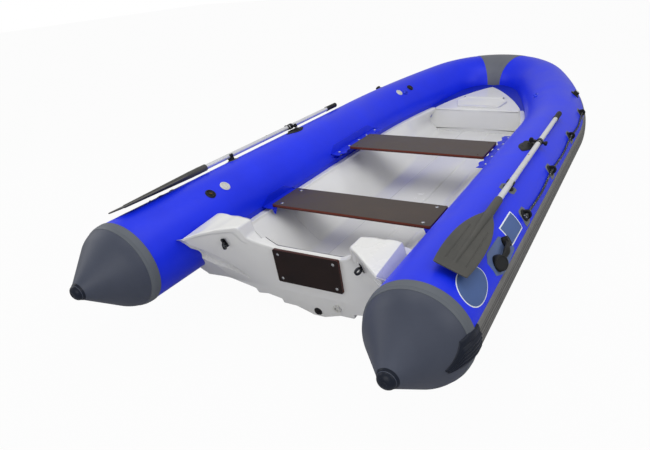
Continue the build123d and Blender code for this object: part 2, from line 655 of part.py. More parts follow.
# ---- oars, oarlocks and clips ----
pin_lean = math.radians(oarlock_lean)
lock_level = oar_offset * math.sin(pin_lean) + oar_height * math.cos(pin_lean)
lock_reach = oar_offset * math.cos(pin_lean) - oar_height * math.sin(pin_lean)
clip_angle = math.degrees(math.atan2(oar_height, oar_offset))
oar_distance = math.hypot(oar_offset, oar_height)
for side_name, side in sides:
    oar_x = side * (tube_spread + oar_offset)
    with BuildPart() as shaft:
        with BuildSketch(frame_plane(blade_neck_station - 60)):
            with Locations((oar_x, oar_height)):
                Circle(shaft_radius)
        extrude(amount=-(grip_start_station - blade_neck_station + 60 + 40))
    save(shaft.part, f"oar_shaft_{side_name}")
    with BuildPart() as grip:
        with BuildSketch(frame_plane(grip_start_station)):
            with Locations((oar_x, oar_height)):
                Circle(shaft_radius + 2.5)
        extrude(amount=-(grip_end_station - grip_start_station))
        with BuildSketch(frame_plane(grip_start_station)):
            with Locations((oar_x, oar_height)):
                Circle(shaft_radius + 0.2)
        extrude(amount=-42, mode=Mode.SUBTRACT)
    save(grip.part, f"oar_grip_{side_name}")

    tilt = math.radians(clip_angle)
    blade_plane = Plane(origin=at(oar_x, 0, oar_height), x_dir=(-side * math.sin(tilt), 0, math.cos(tilt)),
                        z_dir=(side * math.cos(tilt), 0, math.sin(tilt)))
    along = 1 if blade_plane.y_dir.Y > 0 else -1
    half_outline = [(blade_half_width - 6, blade_tip_station + 12), (blade_half_width, blade_tip_station + 120),
                    (0.86 * blade_half_width, 720), (0.5 * blade_half_width, 860), (0.24 * blade_half_width, 960)]
    with BuildPart() as blade:
        with BuildSketch(blade_plane.offset(-blade_thickness / 2)):
            with BuildLine():
                right = [(u, along * s) for u, s in half_outline]
                Polyline(right + [(-u, v) for u, v in reversed(right)] + [(0, along * blade_tip_station)], close=True)
            make_face()
        extrude(amount=blade_thickness)
        with BuildSketch(frame_plane(blade_tip_station + 130)):
            with Locations((oar_x, oar_height)):
                Circle(0.55 * shaft_radius)
        with BuildSketch(frame_plane(900)):
            with Locations((oar_x, oar_height)):
                Circle(socket_radius)
        loft()
        with BuildSketch(frame_plane(900)):
            with Locations((oar_x, oar_height)):
                Circle(socket_radius)
        extrude(amount=-(blade_neck_station - 900))
        with BuildSketch(frame_plane(blade_neck_station)):
            with Locations((oar_x, oar_height)):
                Circle(shaft_radius + 0.2)
        extrude(amount=62, mode=Mode.SUBTRACT)
        for face in (-1, 1):
            with BuildSketch(blade_plane.offset(face * blade_thickness / 2)):
                for edge in (-1, 1):
                    lean = math.degrees(math.atan2(edge * along * groove_spread, groove_length))
                    with Locations(Location((edge * groove_offset, along * groove_station), 90 + lean)):
                        SlotOverall(groove_length, groove_width)
            extrude(amount=-face * groove_depth, mode=Mode.SUBTRACT)
    save(blade.part, f"oar_blade_{side_name}")

    pin = skin_plane(oarlock_station, side, 90 - oarlock_lean)
    outboard = Vector(side * math.cos(pin_lean), 0, -math.sin(pin_lean))
    with BuildPart() as base:
        with BuildSketch(skin_plane(oarlock_station - 12, side, 90 - oarlock_lean).offset(-12)):
            RectangleRounded(116, 84, 30)
        extrude(amount=16)
        with BuildSketch(pin.offset(-4)):
            Circle(lock_foot_radius)
        with BuildSketch(pin.offset(lock_foot_height)):
            Circle(lock_hub_radius)
        loft()
        bed_on_tube(side)
        with BuildSketch(pin.offset(2)):
            Circle(lock_pin_radius)
        extrude(amount=lock_level - tube_radius + lock_hub_height / 2 + 1.5 - 2)
        with BuildSketch(pin.offset(lock_level - tube_radius + lock_hub_height / 2 + 1)):
            Circle(lock_pin_radius + 4)
        extrude(amount=4)
    save(base.part, f"oarlock_base_{side_name}")

    ring_centre = at(side * (tube_spread + oar_offset), oarlock_station, oar_height)
    with BuildPart() as clamp:
        with BuildSketch(pin.offset(lock_level - tube_radius - lock_hub_height / 2)):
            Circle(lock_hub_radius)
        extrude(amount=lock_hub_height)
        with BuildSketch(frame_plane(oarlock_station - ring_width / 2)):
            with Locations((oar_x, oar_height)):
                Circle(ring_radius)
        extrude(amount=-ring_width)
        arm = Plane(origin=pin.origin + pin.z_dir * (lock_level - tube_radius), x_dir=outboard, z_dir=pin.z_dir)
        with BuildSketch(arm.offset(-arm_thickness / 2)):
            with Locations((lock_reach / 2, 0)):
                Rectangle(lock_reach, 0.8 * ring_width)
        extrude(amount=arm_thickness)
        knob = Plane(origin=ring_centre, x_dir=(0, 1, 0), z_dir=outboard)
        with BuildSketch(knob.offset(ring_radius - 3)):
            Circle(8)
        extrude(amount=14)
        with BuildSketch(frame_plane(oarlock_station - ring_width)):
            with Locations((oar_x, oar_height)):
                Circle(shaft_radius + 0.3)
        extrude(amount=-2 * ring_width, mode=Mode.SUBTRACT)
        with BuildSketch(pin.offset(-20)):
            Circle(lock_pin_radius + lock_clearance)
        extrude(amount=120, mode=Mode.SUBTRACT)
    save(clamp.part, f"oar_clamp_{side_name}")

    cradle = skin_plane(clip_station, side, clip_angle)
    with BuildPart() as clip:
        with BuildSketch(cradle.offset(-6)):
            Circle(clip_foot_radius)
        extrude(amount=10)
        with BuildSketch(cradle):
            Rectangle(clip_width, 2 * shaft_radius)
        extrude(amount=oar_distance - tube_radius - shaft_radius + 3)
        with BuildSketch(frame_plane(clip_station - clip_width / 2)):
            with Locations((oar_x, oar_height)):
                Circle(shaft_radius + clip_wall)
        extrude(amount=-clip_width)
        bed_on_tube(side)
        with BuildSketch(frame_plane(clip_station - 60)):
            with Locations((oar_x, oar_height)):
                Circle(shaft_radius + 0.5)
        extrude(amount=-120, mode=Mode.SUBTRACT)
        slot = Plane(origin=cradle.origin + cradle.z_dir * (oar_distance - tube_radius + 0.6 * shaft_radius),
                     x_dir=cradle.x_dir, z_dir=cradle.z_dir)
        with BuildSketch(slot):
            Rectangle(120, 120)
        extrude(amount=60, mode=Mode.SUBTRACT)
    save(clip.part, f"oar_clip_{side_name}")

# ---- fittings bonded to the tubes ----
with BuildPart() as handles:
    for side in (-1, 1):
        for share in (-1, 1):
            with BuildSketch(skin_plane(handle_station + share * handle_span / 2, side, handle_angle).offset(-8)):
                Circle(handle_foot)
            with BuildSketch(skin_plane(handle_station + share * handle_span / 2, side, handle_angle).offset(handle_rise)):
                Circle(0.6 * handle_foot)
            loft()
        grip_plane = skin_plane(handle_station - handle_span / 2, side, handle_angle).offset(handle_rise - 9)
        with BuildSketch(Plane(origin=grip_plane.origin, x_dir=grip_plane.z_dir, z_dir=(0, 1, 0))):
            Circle(9)
        extrude(amount=handle_span)
        bed_on_tube(side)
save(handles.part, "carry_handles")

with BuildPart() as line_eyes:
    for side in (-1, 1):
        for station in line_eye_stations:
            place = skin_plane(station, side, line_eye_angle)
            with BuildSketch(place.offset(bend_sink if station > straight_end else -6)):
                Circle(line_eye_foot)
            with BuildSketch(place.offset(14)):
                Circle(0.55 * line_eye_foot)
            loft()
            with BuildSketch(place.offset(10)):
                Rectangle(11, 26)
            extrude(amount=22)
        bed_on_tube(side)
save(line_eyes.part, "grab_line_eyes")

for name, stations in (("valve_dark", valve_dark_stations), ("valve_light", valve_light_stations)):
    with BuildPart() as valve:
        for station in stations:
            lift = valve_lift if station > straight_end else -4
            place = skin_plane(station, -1, valve_angle)
            with BuildSketch(place.offset(lift)):
                Circle(valve_radius)
            extrude(amount=10 - lift)
            with BuildSketch(place.offset(10)):
                Circle(0.72 * valve_radius)
            extrude(amount=5)
        bed_on_tube(-1)
    save(valve.part, f"{name}_caps")

# ---- transom hardware ----
aft_slope = math.atan(fold_sweep)


def low_transom_plane(x, height):
    """Plane on the lower part of the transom's aft face, z pointing aft."""
    return Plane(origin=at(x, transom_aft_station(x, height), height), x_dir=(1, 0, 0),
                 z_dir=(0, -math.cos(aft_slope), -math.sin(aft_slope)))


with BuildPart() as drain_plug:
    with BuildSketch(low_transom_plane(0, -396).offset(0.3)):
        Circle(20)
    extrude(amount=7)
save(drain_plug.part, "drain_plug")
with BuildPart() as drain_outlet:
    with BuildSketch(low_transom_plane(132, -340).offset(0.3)):
        RegularPolygon(25, 6)
        Circle(drain_radius, mode=Mode.SUBTRACT)
    extrude(amount=12)
save(drain_outlet.part, "drain_outlet")

def ring_eye(origin, along, outward):
    """Foot plate and a standing ring whose hole runs square to both directions."""
    foot = Plane(origin=origin + outward * 0.3, x_dir=along, z_dir=outward)
    with BuildSketch(foot) as plate:
        RectangleRounded(62, 22, 8)
    extrude(plate.sketch, amount=3)
    ring = Plane(origin=foot.origin + outward * (eye_bore + 2 * eye_rod + 2), x_dir=along, z_dir=foot.y_dir)
    with BuildSketch(ring.offset(-eye_rod)) as outer:
        Circle(eye_bore + 2 * eye_rod)
    extrude(outer.sketch, amount=2 * eye_rod)
    with BuildSketch(ring.offset(-2 * eye_rod)) as inner:
        Circle(eye_bore)
    extrude(inner.sketch, amount=4 * eye_rod, mode=Mode.SUBTRACT)


with BuildPart() as stern_eyes:
    for side in (-1, 1):
        x = side * stern_eye_x
        here = at(x, transom_aft_station(x, stern_eye_height), stern_eye_height)
        across = at(x + 10, transom_aft_station(x + 10, stern_eye_height), stern_eye_height) - here
        above = at(x, transom_aft_station(x, stern_eye_height + 10), stern_eye_height + 10) - here
        aft = above.cross(across).normalized()
        aft = aft if aft.Y < 0 else aft * -1
        ring_eye(here, above.normalized(), aft)
save(stern_eyes.part, "stern_eyes")

with BuildPart() as bow_eye:
    climb = keel_height(bow_eye_station + 20) - keel_height(bow_eye_station - 20)
    forward = Vector(0, 40, climb).normalized()
    down = Vector(0, forward.Z, -forward.Y)
    ring_eye(at(0, bow_eye_station, keel_height(bow_eye_station)), forward, down)
save(bow_eye.part, "bow_eye")
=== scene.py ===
# %% [markdown]
# # A rigid inflatable boat, finished in Blender
# The real boat is a moulded glass-fibre V hull bonded inside a horseshoe of air
# tubes welded from coated polyester. The CAD model already has every solid at its
# true size, so it is loaded first as a fixed frame. What follows lays the finished
# surfaces over it: each one is a formula on a grid, because a boat is all sweeps,
# and a sweep is easiest to understand as "a profile carried along a path".

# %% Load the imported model
import math
import bpy
import numpy as np
from mathutils import Matrix


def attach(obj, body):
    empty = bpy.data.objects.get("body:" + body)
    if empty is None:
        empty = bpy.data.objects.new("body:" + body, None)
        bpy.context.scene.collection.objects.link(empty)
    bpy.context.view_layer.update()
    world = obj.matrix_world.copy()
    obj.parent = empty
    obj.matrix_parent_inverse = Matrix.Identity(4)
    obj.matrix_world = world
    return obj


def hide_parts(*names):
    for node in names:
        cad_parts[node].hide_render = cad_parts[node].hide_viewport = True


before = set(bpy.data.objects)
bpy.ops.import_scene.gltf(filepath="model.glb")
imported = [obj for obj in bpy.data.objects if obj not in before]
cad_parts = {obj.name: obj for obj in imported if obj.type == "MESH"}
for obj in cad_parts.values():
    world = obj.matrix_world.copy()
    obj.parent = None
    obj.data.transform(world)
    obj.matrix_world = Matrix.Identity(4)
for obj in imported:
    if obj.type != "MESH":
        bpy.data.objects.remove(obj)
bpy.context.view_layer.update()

# %% [markdown]
# ## Camera
# A product shot from behind the starboard quarter, with the boat turned so that the
# whole cockpit can be seen. The direction is built from three turns: yaw from the
# bow, pitch down, and a small roll.

# %% Place the camera
def standing(axes, origin):
    """The matrix whose columns are three axes and an origin."""
    return Matrix(np.stack([*axes, origin], 1).tolist() + [[0, 0, 0, 1]])


eye = np.array([1.45, -3.46, 1.529])
yaw, pitch, roll = np.radians([28.98, -28.16, -5.1])
forward = np.array([-np.sin(yaw) * np.cos(pitch), np.cos(yaw) * np.cos(pitch), np.sin(pitch)])
level = np.array([np.cos(yaw), np.sin(yaw), 0.0])
upright = np.cross(level, forward)
right = np.cos(roll) * level + np.sin(roll) * upright
up = -np.sin(roll) * level + np.cos(roll) * upright
camera = bpy.data.objects.new("camera", bpy.data.cameras.new("camera"))
camera.data.lens, camera.data.sensor_width = 29.49, 36.0
camera.data.shift_x, camera.data.shift_y = -0.0786, 0.0385
camera.data.clip_start = 0.02
camera.matrix_world = standing([right, up, -forward], eye)
bpy.context.scene.collection.objects.link(camera)
bpy.context.scene.camera = camera
print("camera looks along", forward.round(3))

# %% [markdown]
# ## From formula to mesh
# Every new piece is one or more grids: rings of points, the first and last closed by
# a cap. The faces come from array arithmetic on the vertex numbers. The divergence
# theorem gives the volume a closed grid encloses, and if that is negative the faces
# point inwards and are turned round.

# %% Grid helpers
STERN, AXIS = -2.3, 0.31  # y of the cone tips and z of the straight tubes' axes
SIDES = (("port", -1), ("starboard", 1))
MIRROR = np.array([-1, 1, 1])


def place(x, station, height):
    """Points x to starboard, station forward of the cone tips, height above the tube axis."""
    y, z = np.asarray(station) + STERN, np.asarray(height) + AXIS
    return np.stack(np.broadcast_arrays(x, y, z), -1)


def mm(*rows):
    """A table written in millimetres, in metres."""
    return np.array(rows) / 1000


def unit(v):
    """The same direction, with a length of 1."""
    v = np.asarray(v, float)
    return v / np.linalg.norm(v, axis=-1, keepdims=True)


def travelled(path):
    """Distance along a path at each of its points."""
    return np.concatenate([[0], np.cumsum(np.linalg.norm(np.diff(path, axis=0), axis=1))])


def enclosed(points, faces):
    """Volume inside closed faces: a . (b x c) / 6, summed over two triangles a face."""
    a, b, c = points[np.concatenate([faces[:, :3], faces[:, [0, 2, 3]]])].swapaxes(0, 1)
    return (a * np.cross(b, c)).sum() / 6


def grid(points, paint=0, uv=None):
    """A closed surface from rings (rows, columns, 3), capped by a fan to the middle of each end."""
    rows, columns = points.shape[:2]
    flat = points.reshape(-1, 3)
    i, j = np.meshgrid(np.arange(rows - 1), np.arange(columns), indexing="ij")
    here, ahead = i * columns + j, i * columns + (j + 1) % columns
    faces = np.stack([here, ahead, ahead + columns, here + columns], -1).reshape(-1, 4)
    ring, hub = np.arange(columns), np.full(columns, len(flat))
    following, end = np.roll(ring, -1), (rows - 1) * columns
    first = np.stack([following, ring, hub, hub], 1)
    last = np.stack([ring + end, following + end, hub + 1, hub + 1], 1)
    flat = np.concatenate([flat, [points[0].mean(0), points[-1].mean(0)]])
    faces = np.concatenate([faces, first, last])
    if enclosed(flat - flat.mean(0), faces) < 0:
        faces = faces[:, ::-1]
    spread = np.zeros((len(flat), 2))
    if uv is not None:
        spread[:rows * columns] = uv.reshape(-1, 2)
    return flat, faces, paint, spread


def lined(front, back, **more):
    """A closed sheet: the points in front, then those behind, which run back the other way."""
    return grid(np.concatenate([front, back], 1), **more)


def piece(name, grids, finishes, replaces=(), crease=38.0, body="boat"):
    """A finished object from its grids; a quad that repeats a corner becomes a triangle."""
    polygons, paints, offset = [], [], 0
    for points, faces, paint, _ in grids:
        last, first = faces[:, 2] == faces[:, 3], faces[:, 0] == faces[:, 1]
        for some in (faces[~(last | first)], faces[last][:, :3], faces[first][:, 1:]):
            polygons += (some + offset).tolist()
        paints += [paint] * len(faces)
        offset += len(points)
    mesh = bpy.data.meshes.new(name)
    mesh.from_pydata(np.concatenate([made[0] for made in grids]).tolist(), [], polygons)
    mesh.polygons.foreach_set("material_index", np.array(paints, np.int32))
    chart = mesh.uv_layers.new(name="along")
    corners = np.zeros(len(mesh.loops), np.int32)
    mesh.loops.foreach_get("vertex_index", corners)
    chart.data.foreach_set("uv", np.concatenate([made[3] for made in grids])[corners].ravel())
    mesh.polygons.foreach_set("use_smooth", np.ones(len(mesh.polygons), bool))
    mesh.set_sharp_from_angle(angle=math.radians(crease))
    mesh.update()
    made = bpy.data.objects.new(name, mesh)
    bpy.context.scene.collection.objects.link(made)
    for each in finishes:
        mesh.materials.append(each)
    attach(made, body)
    if replaces:
        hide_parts(*replaces)
    return made


def rounded(corners, radius, steps=4, closed=True):
    """Rounds corners (..., corner, axis) by quadratic curves that start `radius` to each side."""
    reach = np.broadcast_to(np.asarray(radius, float), corners.shape[-2])[:, None]

    def back(towards):
        leg = np.linalg.norm(towards - corners, axis=-1, keepdims=True)
        return corners + (towards - corners) * np.minimum(0.48, reach / np.maximum(leg, 1e-9))

    entry = back(np.roll(corners, 1, -2))[..., None, :]
    leave = back(np.roll(corners, -1, -2))[..., None, :]
    t = np.linspace(0, 1, steps)[:, None]
    bends = (1 - t) ** 2 * entry + 2 * t * (1 - t) * corners[..., None, :] + t ** 2 * leave
    if not closed:
        bends[..., 0, :, :] = corners[..., 0, None, :]
        bends[..., -1, :, :] = corners[..., -1, None, :]
    return bends.reshape(*corners.shape[:-2], -1, corners.shape[-1])


def smoothstep(low, high, value):
    """0 below low, 1 above high, and 3t^2 - 2t^3 between."""
    t = np.clip((np.asarray(value, float) - low) / (high - low), 0, 1)
    return t * t * (3 - 2 * t)


def circle(count):
    """Unit circle as (count, 2)."""
    turn = np.linspace(0, 2 * np.pi, count, endpoint=False)
    return np.stack([np.cos(turn), np.sin(turn)], -1)


def lathe(profile, origin, axis, count=64, paint=0):
    """A (radius, distance) profile round an axis: origin + axis d + (across cos + aside sin) r."""
    profile, axis = np.asarray(profile, float), unit(axis)
    across = unit(np.cross([0, 1, 0] if abs(axis[1]) < 0.9 else [1, 0, 0], axis))
    around = circle(count) @ np.stack([across, np.cross(axis, across)])
    points = np.asarray(origin) + axis * profile[:, None, 1:] + around * profile[:, None, :1]
    return grid(points, paint)


def slab(outline, origin, across, along, normal, thickness, edge, paint=0):
    """A plate whose outline shrinks by edge (1 - cos) as it rises by edge sin, at both faces."""
    tangent = np.roll(outline, -1, 0) - np.roll(outline, 1, 0)
    outward = unit(np.stack([tangent[:, 1], -tangent[:, 0]], 1))
    if np.cross(outline, np.roll(outline, -1, 0)).sum() < 0:
        outward = -outward
    swing = np.linspace(0, np.pi / 2, 4)
    opening, closing = edge * (1 - np.sin(swing)), edge * (1 - np.cos(swing))
    inset = np.concatenate([[edge], opening, closing, [edge]])[:, None, None]
    height = np.concatenate([[0], closing, thickness - opening, [thickness]])[:, None, None]
    flat = outline - outward * inset
    return grid(np.asarray(origin) + flat[..., :1] * np.asarray(across)
                + flat[..., 1:] * np.asarray(along) + height * np.asarray(normal), paint)


# %% [markdown]
# ## Finishes
# Each finish starts from what the real surface is and how it was made. One function
# turns the sRGB hex of a paint card into the linear values a shader works in, and one
# adds a node with its settings and links.

# %% Material helpers
def linear(code):
    """sRGB hex to linear: v / 12.92 below 0.04045, else ((v + 0.055) / 1.055) ^ 2.4."""
    value = np.array([int(code[i:i + 2], 16) for i in (1, 3, 5)]) / 255
    return (*np.where(value <= 0.04045, value / 12.92, ((value + 0.055) / 1.055) ** 2.4), 1.0)


def add(tree, kind, settings=None, **links):
    """Adds a node. settings are its own properties; links set its inputs to values or outputs."""
    made = tree.nodes.new(kind)
    for key, value in (settings or {}).items():
        setattr(made, key, value)
    for key, value in links.items():
        socket = made.inputs[int(key[1:]) if key[0] == "_" else key.replace("_", " ")]
        if isinstance(value, bpy.types.NodeSocket):
            tree.links.new(value, socket)
        else:
            socket.default_value = value
    return made


def mixed(tree, amount, first, second):
    """A colour that goes from the first to the second as the amount goes from 0 to 1."""
    made = add(tree, "ShaderNodeMix", {"data_type": "RGBA"}, _0=amount, _6=first, _7=second)
    return made.outputs[2]


def remapped(tree, value, low, high, start, stop):
    """start where the value is low, stop where it is high, and a straight line between."""
    return add(tree, "ShaderNodeMapRange", Value=value, From_Min=low, From_Max=high,
               To_Min=start, To_Max=stop).outputs["Result"]


def finish(name, colour, rough, **sockets):
    """A new material with one Principled shader whose constants are set on its own sockets."""
    made = bpy.data.materials.new(name)
    made.use_nodes = True
    tree = made.node_tree
    tree.nodes.clear()
    shader = add(tree, "ShaderNodeBsdfPrincipled", Base_Color=linear(colour), Roughness=rough,
                 **sockets)
    add(tree, "ShaderNodeOutputMaterial", Surface=shader.outputs["BSDF"])
    made.diffuse_color = linear(colour)
    return made, tree, shader


def worn(tree, shader, light, dark, scale, rough, relief, grain, depth=0.0004):
    """Drifts colour and gloss over `scale` cycles a metre and presses in a fine grain."""
    where = add(tree, "ShaderNodeTexCoord").outputs["Object"]
    cloud = add(tree, "ShaderNodeTexNoise", Vector=where, Scale=scale, Detail=6.0,
                Roughness=0.6).outputs["Fac"]
    shade = remapped(tree, cloud, 0.3, 0.7, 0.0, 1.0)
    tint = mixed(tree, shade, linear(dark), linear(light))
    tree.links.new(tint, shader.inputs["Base Color"])
    tree.links.new(remapped(tree, cloud, 0.3, 0.7, *rough), shader.inputs["Roughness"])
    fine = add(tree, "ShaderNodeTexNoise", Vector=where, Scale=grain, Detail=3.0)
    bump = add(tree, "ShaderNodeBump", Height=fine.outputs["Fac"], Strength=relief,
               Distance=depth).outputs["Normal"]
    tree.links.new(bump, shader.inputs["Normal"])
    return where, tint, bump


# %% [markdown]
# ### Tube fabric
# Boat tubes are polyester cloth calendered between two films of PVC. The film is
# satin, so highlights are broad, and the weave prints through it very faintly. The
# threads are about 0.4 mm apart, too fine to show, so a coarser weave is drawn.

# %% Calendered PVC fabric
WAVE = 20  # radians a metre through which a wave texture of scale 1 turns


def pvc_fabric(name, light, dark, rough, radian=0.003):
    """Satin film over two crossed sets of threads, multiplied together as relief; radian is
    the distance in which the weave turns through one, so it repeats every 19 mm."""
    made, tree, shader = finish(name, light, rough, IOR=1.5, Specular_IOR_Level=0.3)
    where, _, bump = worn(tree, shader, light, dark, 3.0, (rough - 0.05, rough + 0.06), 0.12, 420.0)
    weft, warp = (add(tree, "ShaderNodeTexWave", {"bands_direction": way}, Vector=where,
                      Scale=1 / radian / WAVE, Distortion=0.4).outputs["Fac"] for way in "YZ")
    cross = add(tree, "ShaderNodeMath", {"operation": "MULTIPLY"}, _0=weft, _1=warp)
    woven = add(tree, "ShaderNodeBump", Height=cross.outputs["Value"], Strength=0.05,
                Distance=0.0004, Normal=bump)
    tree.links.new(woven.outputs["Normal"], shader.inputs["Normal"])
    return made


blue_fabric = pvc_fabric("calendered_pvc_royal_blue", "#0d2ce8", "#0926da", 0.4)
blue_tape = pvc_fabric("welded_pvc_tape_blue", "#0a28d6", "#0721c2", 0.38)
slate_fabric = pvc_fabric("calendered_pvc_slate", "#444957", "#3b404e", 0.46)
slate_tape = pvc_fabric("welded_pvc_tape_grey", "#5f646a", "#555a62", 0.5)
patch_fabric = pvc_fabric("calendered_pvc_bow_grey", "#6a6d74", "#5e6169", 0.45)
# a darker copy of the blue cloth for the bow sheet: its deeper blue is painted shade of the concave
# sheet
blue_tape_painted_shade = pvc_fabric("welded_pvc_sheet_blue_painted_shade", "#0a25b4", "#071c9c", 0.42)
blue_gloss = pvc_fabric("moulded_pvc_gloss_blue", "#1434dc", "#0f2bc6", 0.16)
print("fabrics:", blue_fabric.name, slate_fabric.name)

# %% [markdown]
# ### Gelcoat, rubber, plywood and metal
# Gelcoat is pigmented polyester resin sprayed into a polished mould: a clear-looking
# gloss over an almost flat white. The rubbers are moulded and matt. The benches are
# birch plywood faced with phenolic film, whose open edges show the plies.

# %% Gelcoat
gelcoat, tree, shader = finish("sprayed_gelcoat_warm_white", "#dcdcda", 0.24, IOR=1.5,
                               Coat_Weight=0.35, Coat_Roughness=0.08)
worn(tree, shader, "#e0e0de", "#d8d8d6", 1.6, (0.22, 0.28), 0.0, 60.0)

# %% Moulded rubbers and plastics
MATT = dict(IOR=1.5, Specular_IOR_Level=0.22)


def moulded(name, light, dark, rough, relief=0.25):
    """Rubber or plastic from a spark-eroded mould: a fine even grain of about 1 mm."""
    made, tree, shader = finish(name, light, rough, **MATT)
    worn(tree, shader, light, dark, 9.0, (rough - 0.06, rough + 0.08), relief, 1200.0)
    return made


strake_rubber, tree, shader = finish("extruded_rubber_grey", "#6b6a69", 0.5, **MATT)
_, tint, _ = worn(tree, shader, "#767573", "#686765", 9.0, (0.46, 0.6), 0.25, 1200.0)
# painted shade: the first UV coordinate mixes the grey towards near-black #2b2b2d in the grooves,
# along the lower margin and underneath
chart = add(tree, "ShaderNodeUVMap", {"uv_map": "along"}).outputs["UV"]
unshaded_share = add(tree, "ShaderNodeSeparateXYZ", Vector=chart).outputs["X"]
tree.links.new(mixed(tree, unshaded_share, linear("#2b2b2d"), tint), shader.inputs["Base Color"])
navy_rubber = moulded("moulded_rubber_navy", "#141b2b", "#0e1420", 0.4)
black_rubber = moulded("moulded_rubber_black", "#1a1b1c", "#101112", 0.45)
black_plastic = moulded("moulded_polyamide_black", "#1d1d1e", "#141415", 0.34)
pale_plastic = moulded("moulded_acetal_pale_grey", "#cfcfca", "#bdbdb8", 0.36, 0.1)
blade_plastic = moulded("moulded_polypropylene_grey", "#4d4c48", "#434340", 0.42, 0.2)
eye_patch = moulded("cut_pvc_patch_grey", "#6e7276", "#5d6165", 0.5)
badge_fill = moulded("printed_pvc_steel_blue", "#486194", "#415a8a", 0.4, 0.1)
badge_edge = moulded("printed_pvc_white", "#e6ebf2", "#dbe1ea", 0.42, 0.1)
handle_patch = moulded("cut_pvc_patch_slate_blue", "#5d6f96", "#52638a", 0.45, 0.15)

# %% Film-faced plywood
def plywood(name, light, dark, edge_light, edge_dark, face_axis, radian=0.003):
    """Birch ply: film where the normal lies along face_axis, red-brown bands on the edges."""
    made, tree, shader = finish(name, light, 0.4, **MATT)
    where, film, _ = worn(tree, shader, light, dark, 7.0, (0.34, 0.46), 0.2, 500.0)
    plies = add(tree, "ShaderNodeTexWave", {"bands_direction": "Z"}, Vector=where,
                Scale=1 / radian / WAVE, Distortion=0.6, Detail=2.0).outputs["Fac"]
    layers = mixed(tree, plies, linear(edge_dark), linear(edge_light))
    normal = add(tree, "ShaderNodeNewGeometry").outputs["Normal"]
    facing = add(tree, "ShaderNodeSeparateXYZ", Vector=normal).outputs[face_axis]
    flatness = add(tree, "ShaderNodeMath", {"operation": "ABSOLUTE"}, _0=facing).outputs["Value"]
    on_edge = remapped(tree, flatness, 0.35, 0.75, 1.0, 0.0)
    tree.links.new(mixed(tree, on_edge, film, layers), shader.inputs["Base Color"])
    return made


bench_ply = plywood("film_faced_plywood_brown", "#4a4039", "#3d342f", "#6e3325", "#451e17", "Z")
board_ply = plywood("film_faced_plywood_dark", "#231411", "#180d0b", "#5d2b1f", "#3c1a15", "Y")

# %% Rope
rope_fibre, tree, shader = finish("three_strand_polyester_rope", "#26282b", 0.7, IOR=1.5)
where, tint, _ = worn(tree, shader, "#303338", "#17181a", 40.0, (0.6, 0.8), 0.5, 900.0)
speck = add(tree, "ShaderNodeTexVoronoi", Vector=where, Scale=95.0).outputs["Distance"]
pale = remapped(tree, speck, 0.18, 0.26, 1.0, 0.0)
tree.links.new(mixed(tree, pale, tint, linear("#a9adb0")), shader.inputs["Base Color"])

# %% Metals
def metal(name, colour, share, rough, light, dark, scale, gloss, grain=800.0):
    """A worked metal, its finish drifting from light to dark."""
    made, tree, shader = finish(name, colour, rough, Metallic=share)
    worn(tree, shader, light, dark, scale, gloss, 0.05, grain)
    return made


steel = metal("polished_stainless_steel", "#c9cbcd", 1.0, 0.2, "#cfd1d3", "#bcbec1", 40.0,
              (0.16, 0.3))
# stainless steel for the stern eyes, its colour darkened as a painted dark reflection
steel_with_painted_dark_reflection = metal("stainless_steel_painted_dark_reflection", "#3b3d40", 0.9, 0.3, "#45474a", "#2c2e31", 60.0,
                   (0.22, 0.38))
brass_pin = metal("turned_brass", "#8f6f3a", 1.0, 0.35, "#9a7840", "#7c5f30", 60.0, (0.28, 0.42))
alloy = metal("anodised_aluminium", "#dcdddf", 0.55, 0.3, "#e6e7e8", "#d6d7d9", 6.0, (0.24, 0.34),
              300.0)

# %% [markdown]
# ## The buoyancy tubes
# In plan a tube runs straight, then turns through 25 degrees on a long radius and on
# to the nose on a short one, climbing as a parabola while it grows a little. Distance
# travelled along the axis gives the heading, and the heading gives everything else.

# %% The tube's axis and skin as functions
radius, spread, nose_radius, nose_climb = 0.221, 0.79, 0.234, 0.092
slow, slow_turn, seam, length = 3.25, math.radians(25), 0.309, 4.6
quick = (spread - slow * (1 - math.cos(slow_turn))) / math.cos(slow_turn)
quick_turn = math.pi / 2 - slow_turn
nose = length - nose_radius
bend = slow * math.sin(slow_turn) + quick * (1 - math.sin(slow_turn))
straight_end = nose - bend
straight = straight_end - seam
whole = straight + slow * slow_turn + quick * quick_turn


def axis(travel):
    """Starboard tube: centre, unit tangent and radius after `travel` metres from the cone seam.
    Heading is travel / radius in each bend; the arcs' sines and cosines add up to the place."""
    a = np.clip((travel - straight) / slow, 0, slow_turn)
    b = np.clip((travel - straight - slow * slow_turn) / quick, 0, quick_turn)
    x = (spread - slow * (1 - np.cos(a))
         - quick * (math.cos(slow_turn) - np.cos(slow_turn + b)))
    station = (np.minimum(travel, straight) + seam + slow * np.sin(a)
               + quick * (np.sin(slow_turn + b) - math.sin(slow_turn)))
    run = np.maximum(0, station - straight_end) / bend
    ahead, climb = np.cos(a + b), 2 * nose_climb * run / bend
    tangent = unit(np.stack([-np.sin(a + b), ahead, climb * ahead], -1))
    return place(x, station, nose_climb * run ** 2), tangent, radius + (nose_radius - radius) * run


table_travel = np.linspace(-0.4, whole, 4000)
table_station = axis(table_travel)[0][:, 1] - STERN


def travel_at(station):
    """Distance travelled to reach a station, looked up in a fine table."""
    return np.interp(station, table_station, table_travel)


def skin(travel, degrees, lift=0.0, side=1):
    """centre + (radius + lift)(outboard cos + upward sin): 0 is outboard, 90 top, 180 inboard."""
    travel, degrees, lift = np.broadcast_arrays(travel, degrees, lift)
    centre, tangent, size = axis(travel)
    outboard = unit(np.stack([tangent[..., 1], -tangent[..., 0], 0 * size], -1))
    upward = unit(np.array([0, 0, 1.0]) - tangent * tangent[..., 2:])
    turn = np.radians(degrees)[..., None]
    outward = outboard * np.cos(turn) + upward * np.sin(turn)
    return (centre + outward * (size + lift)[..., None]) * [side, 1, 1]


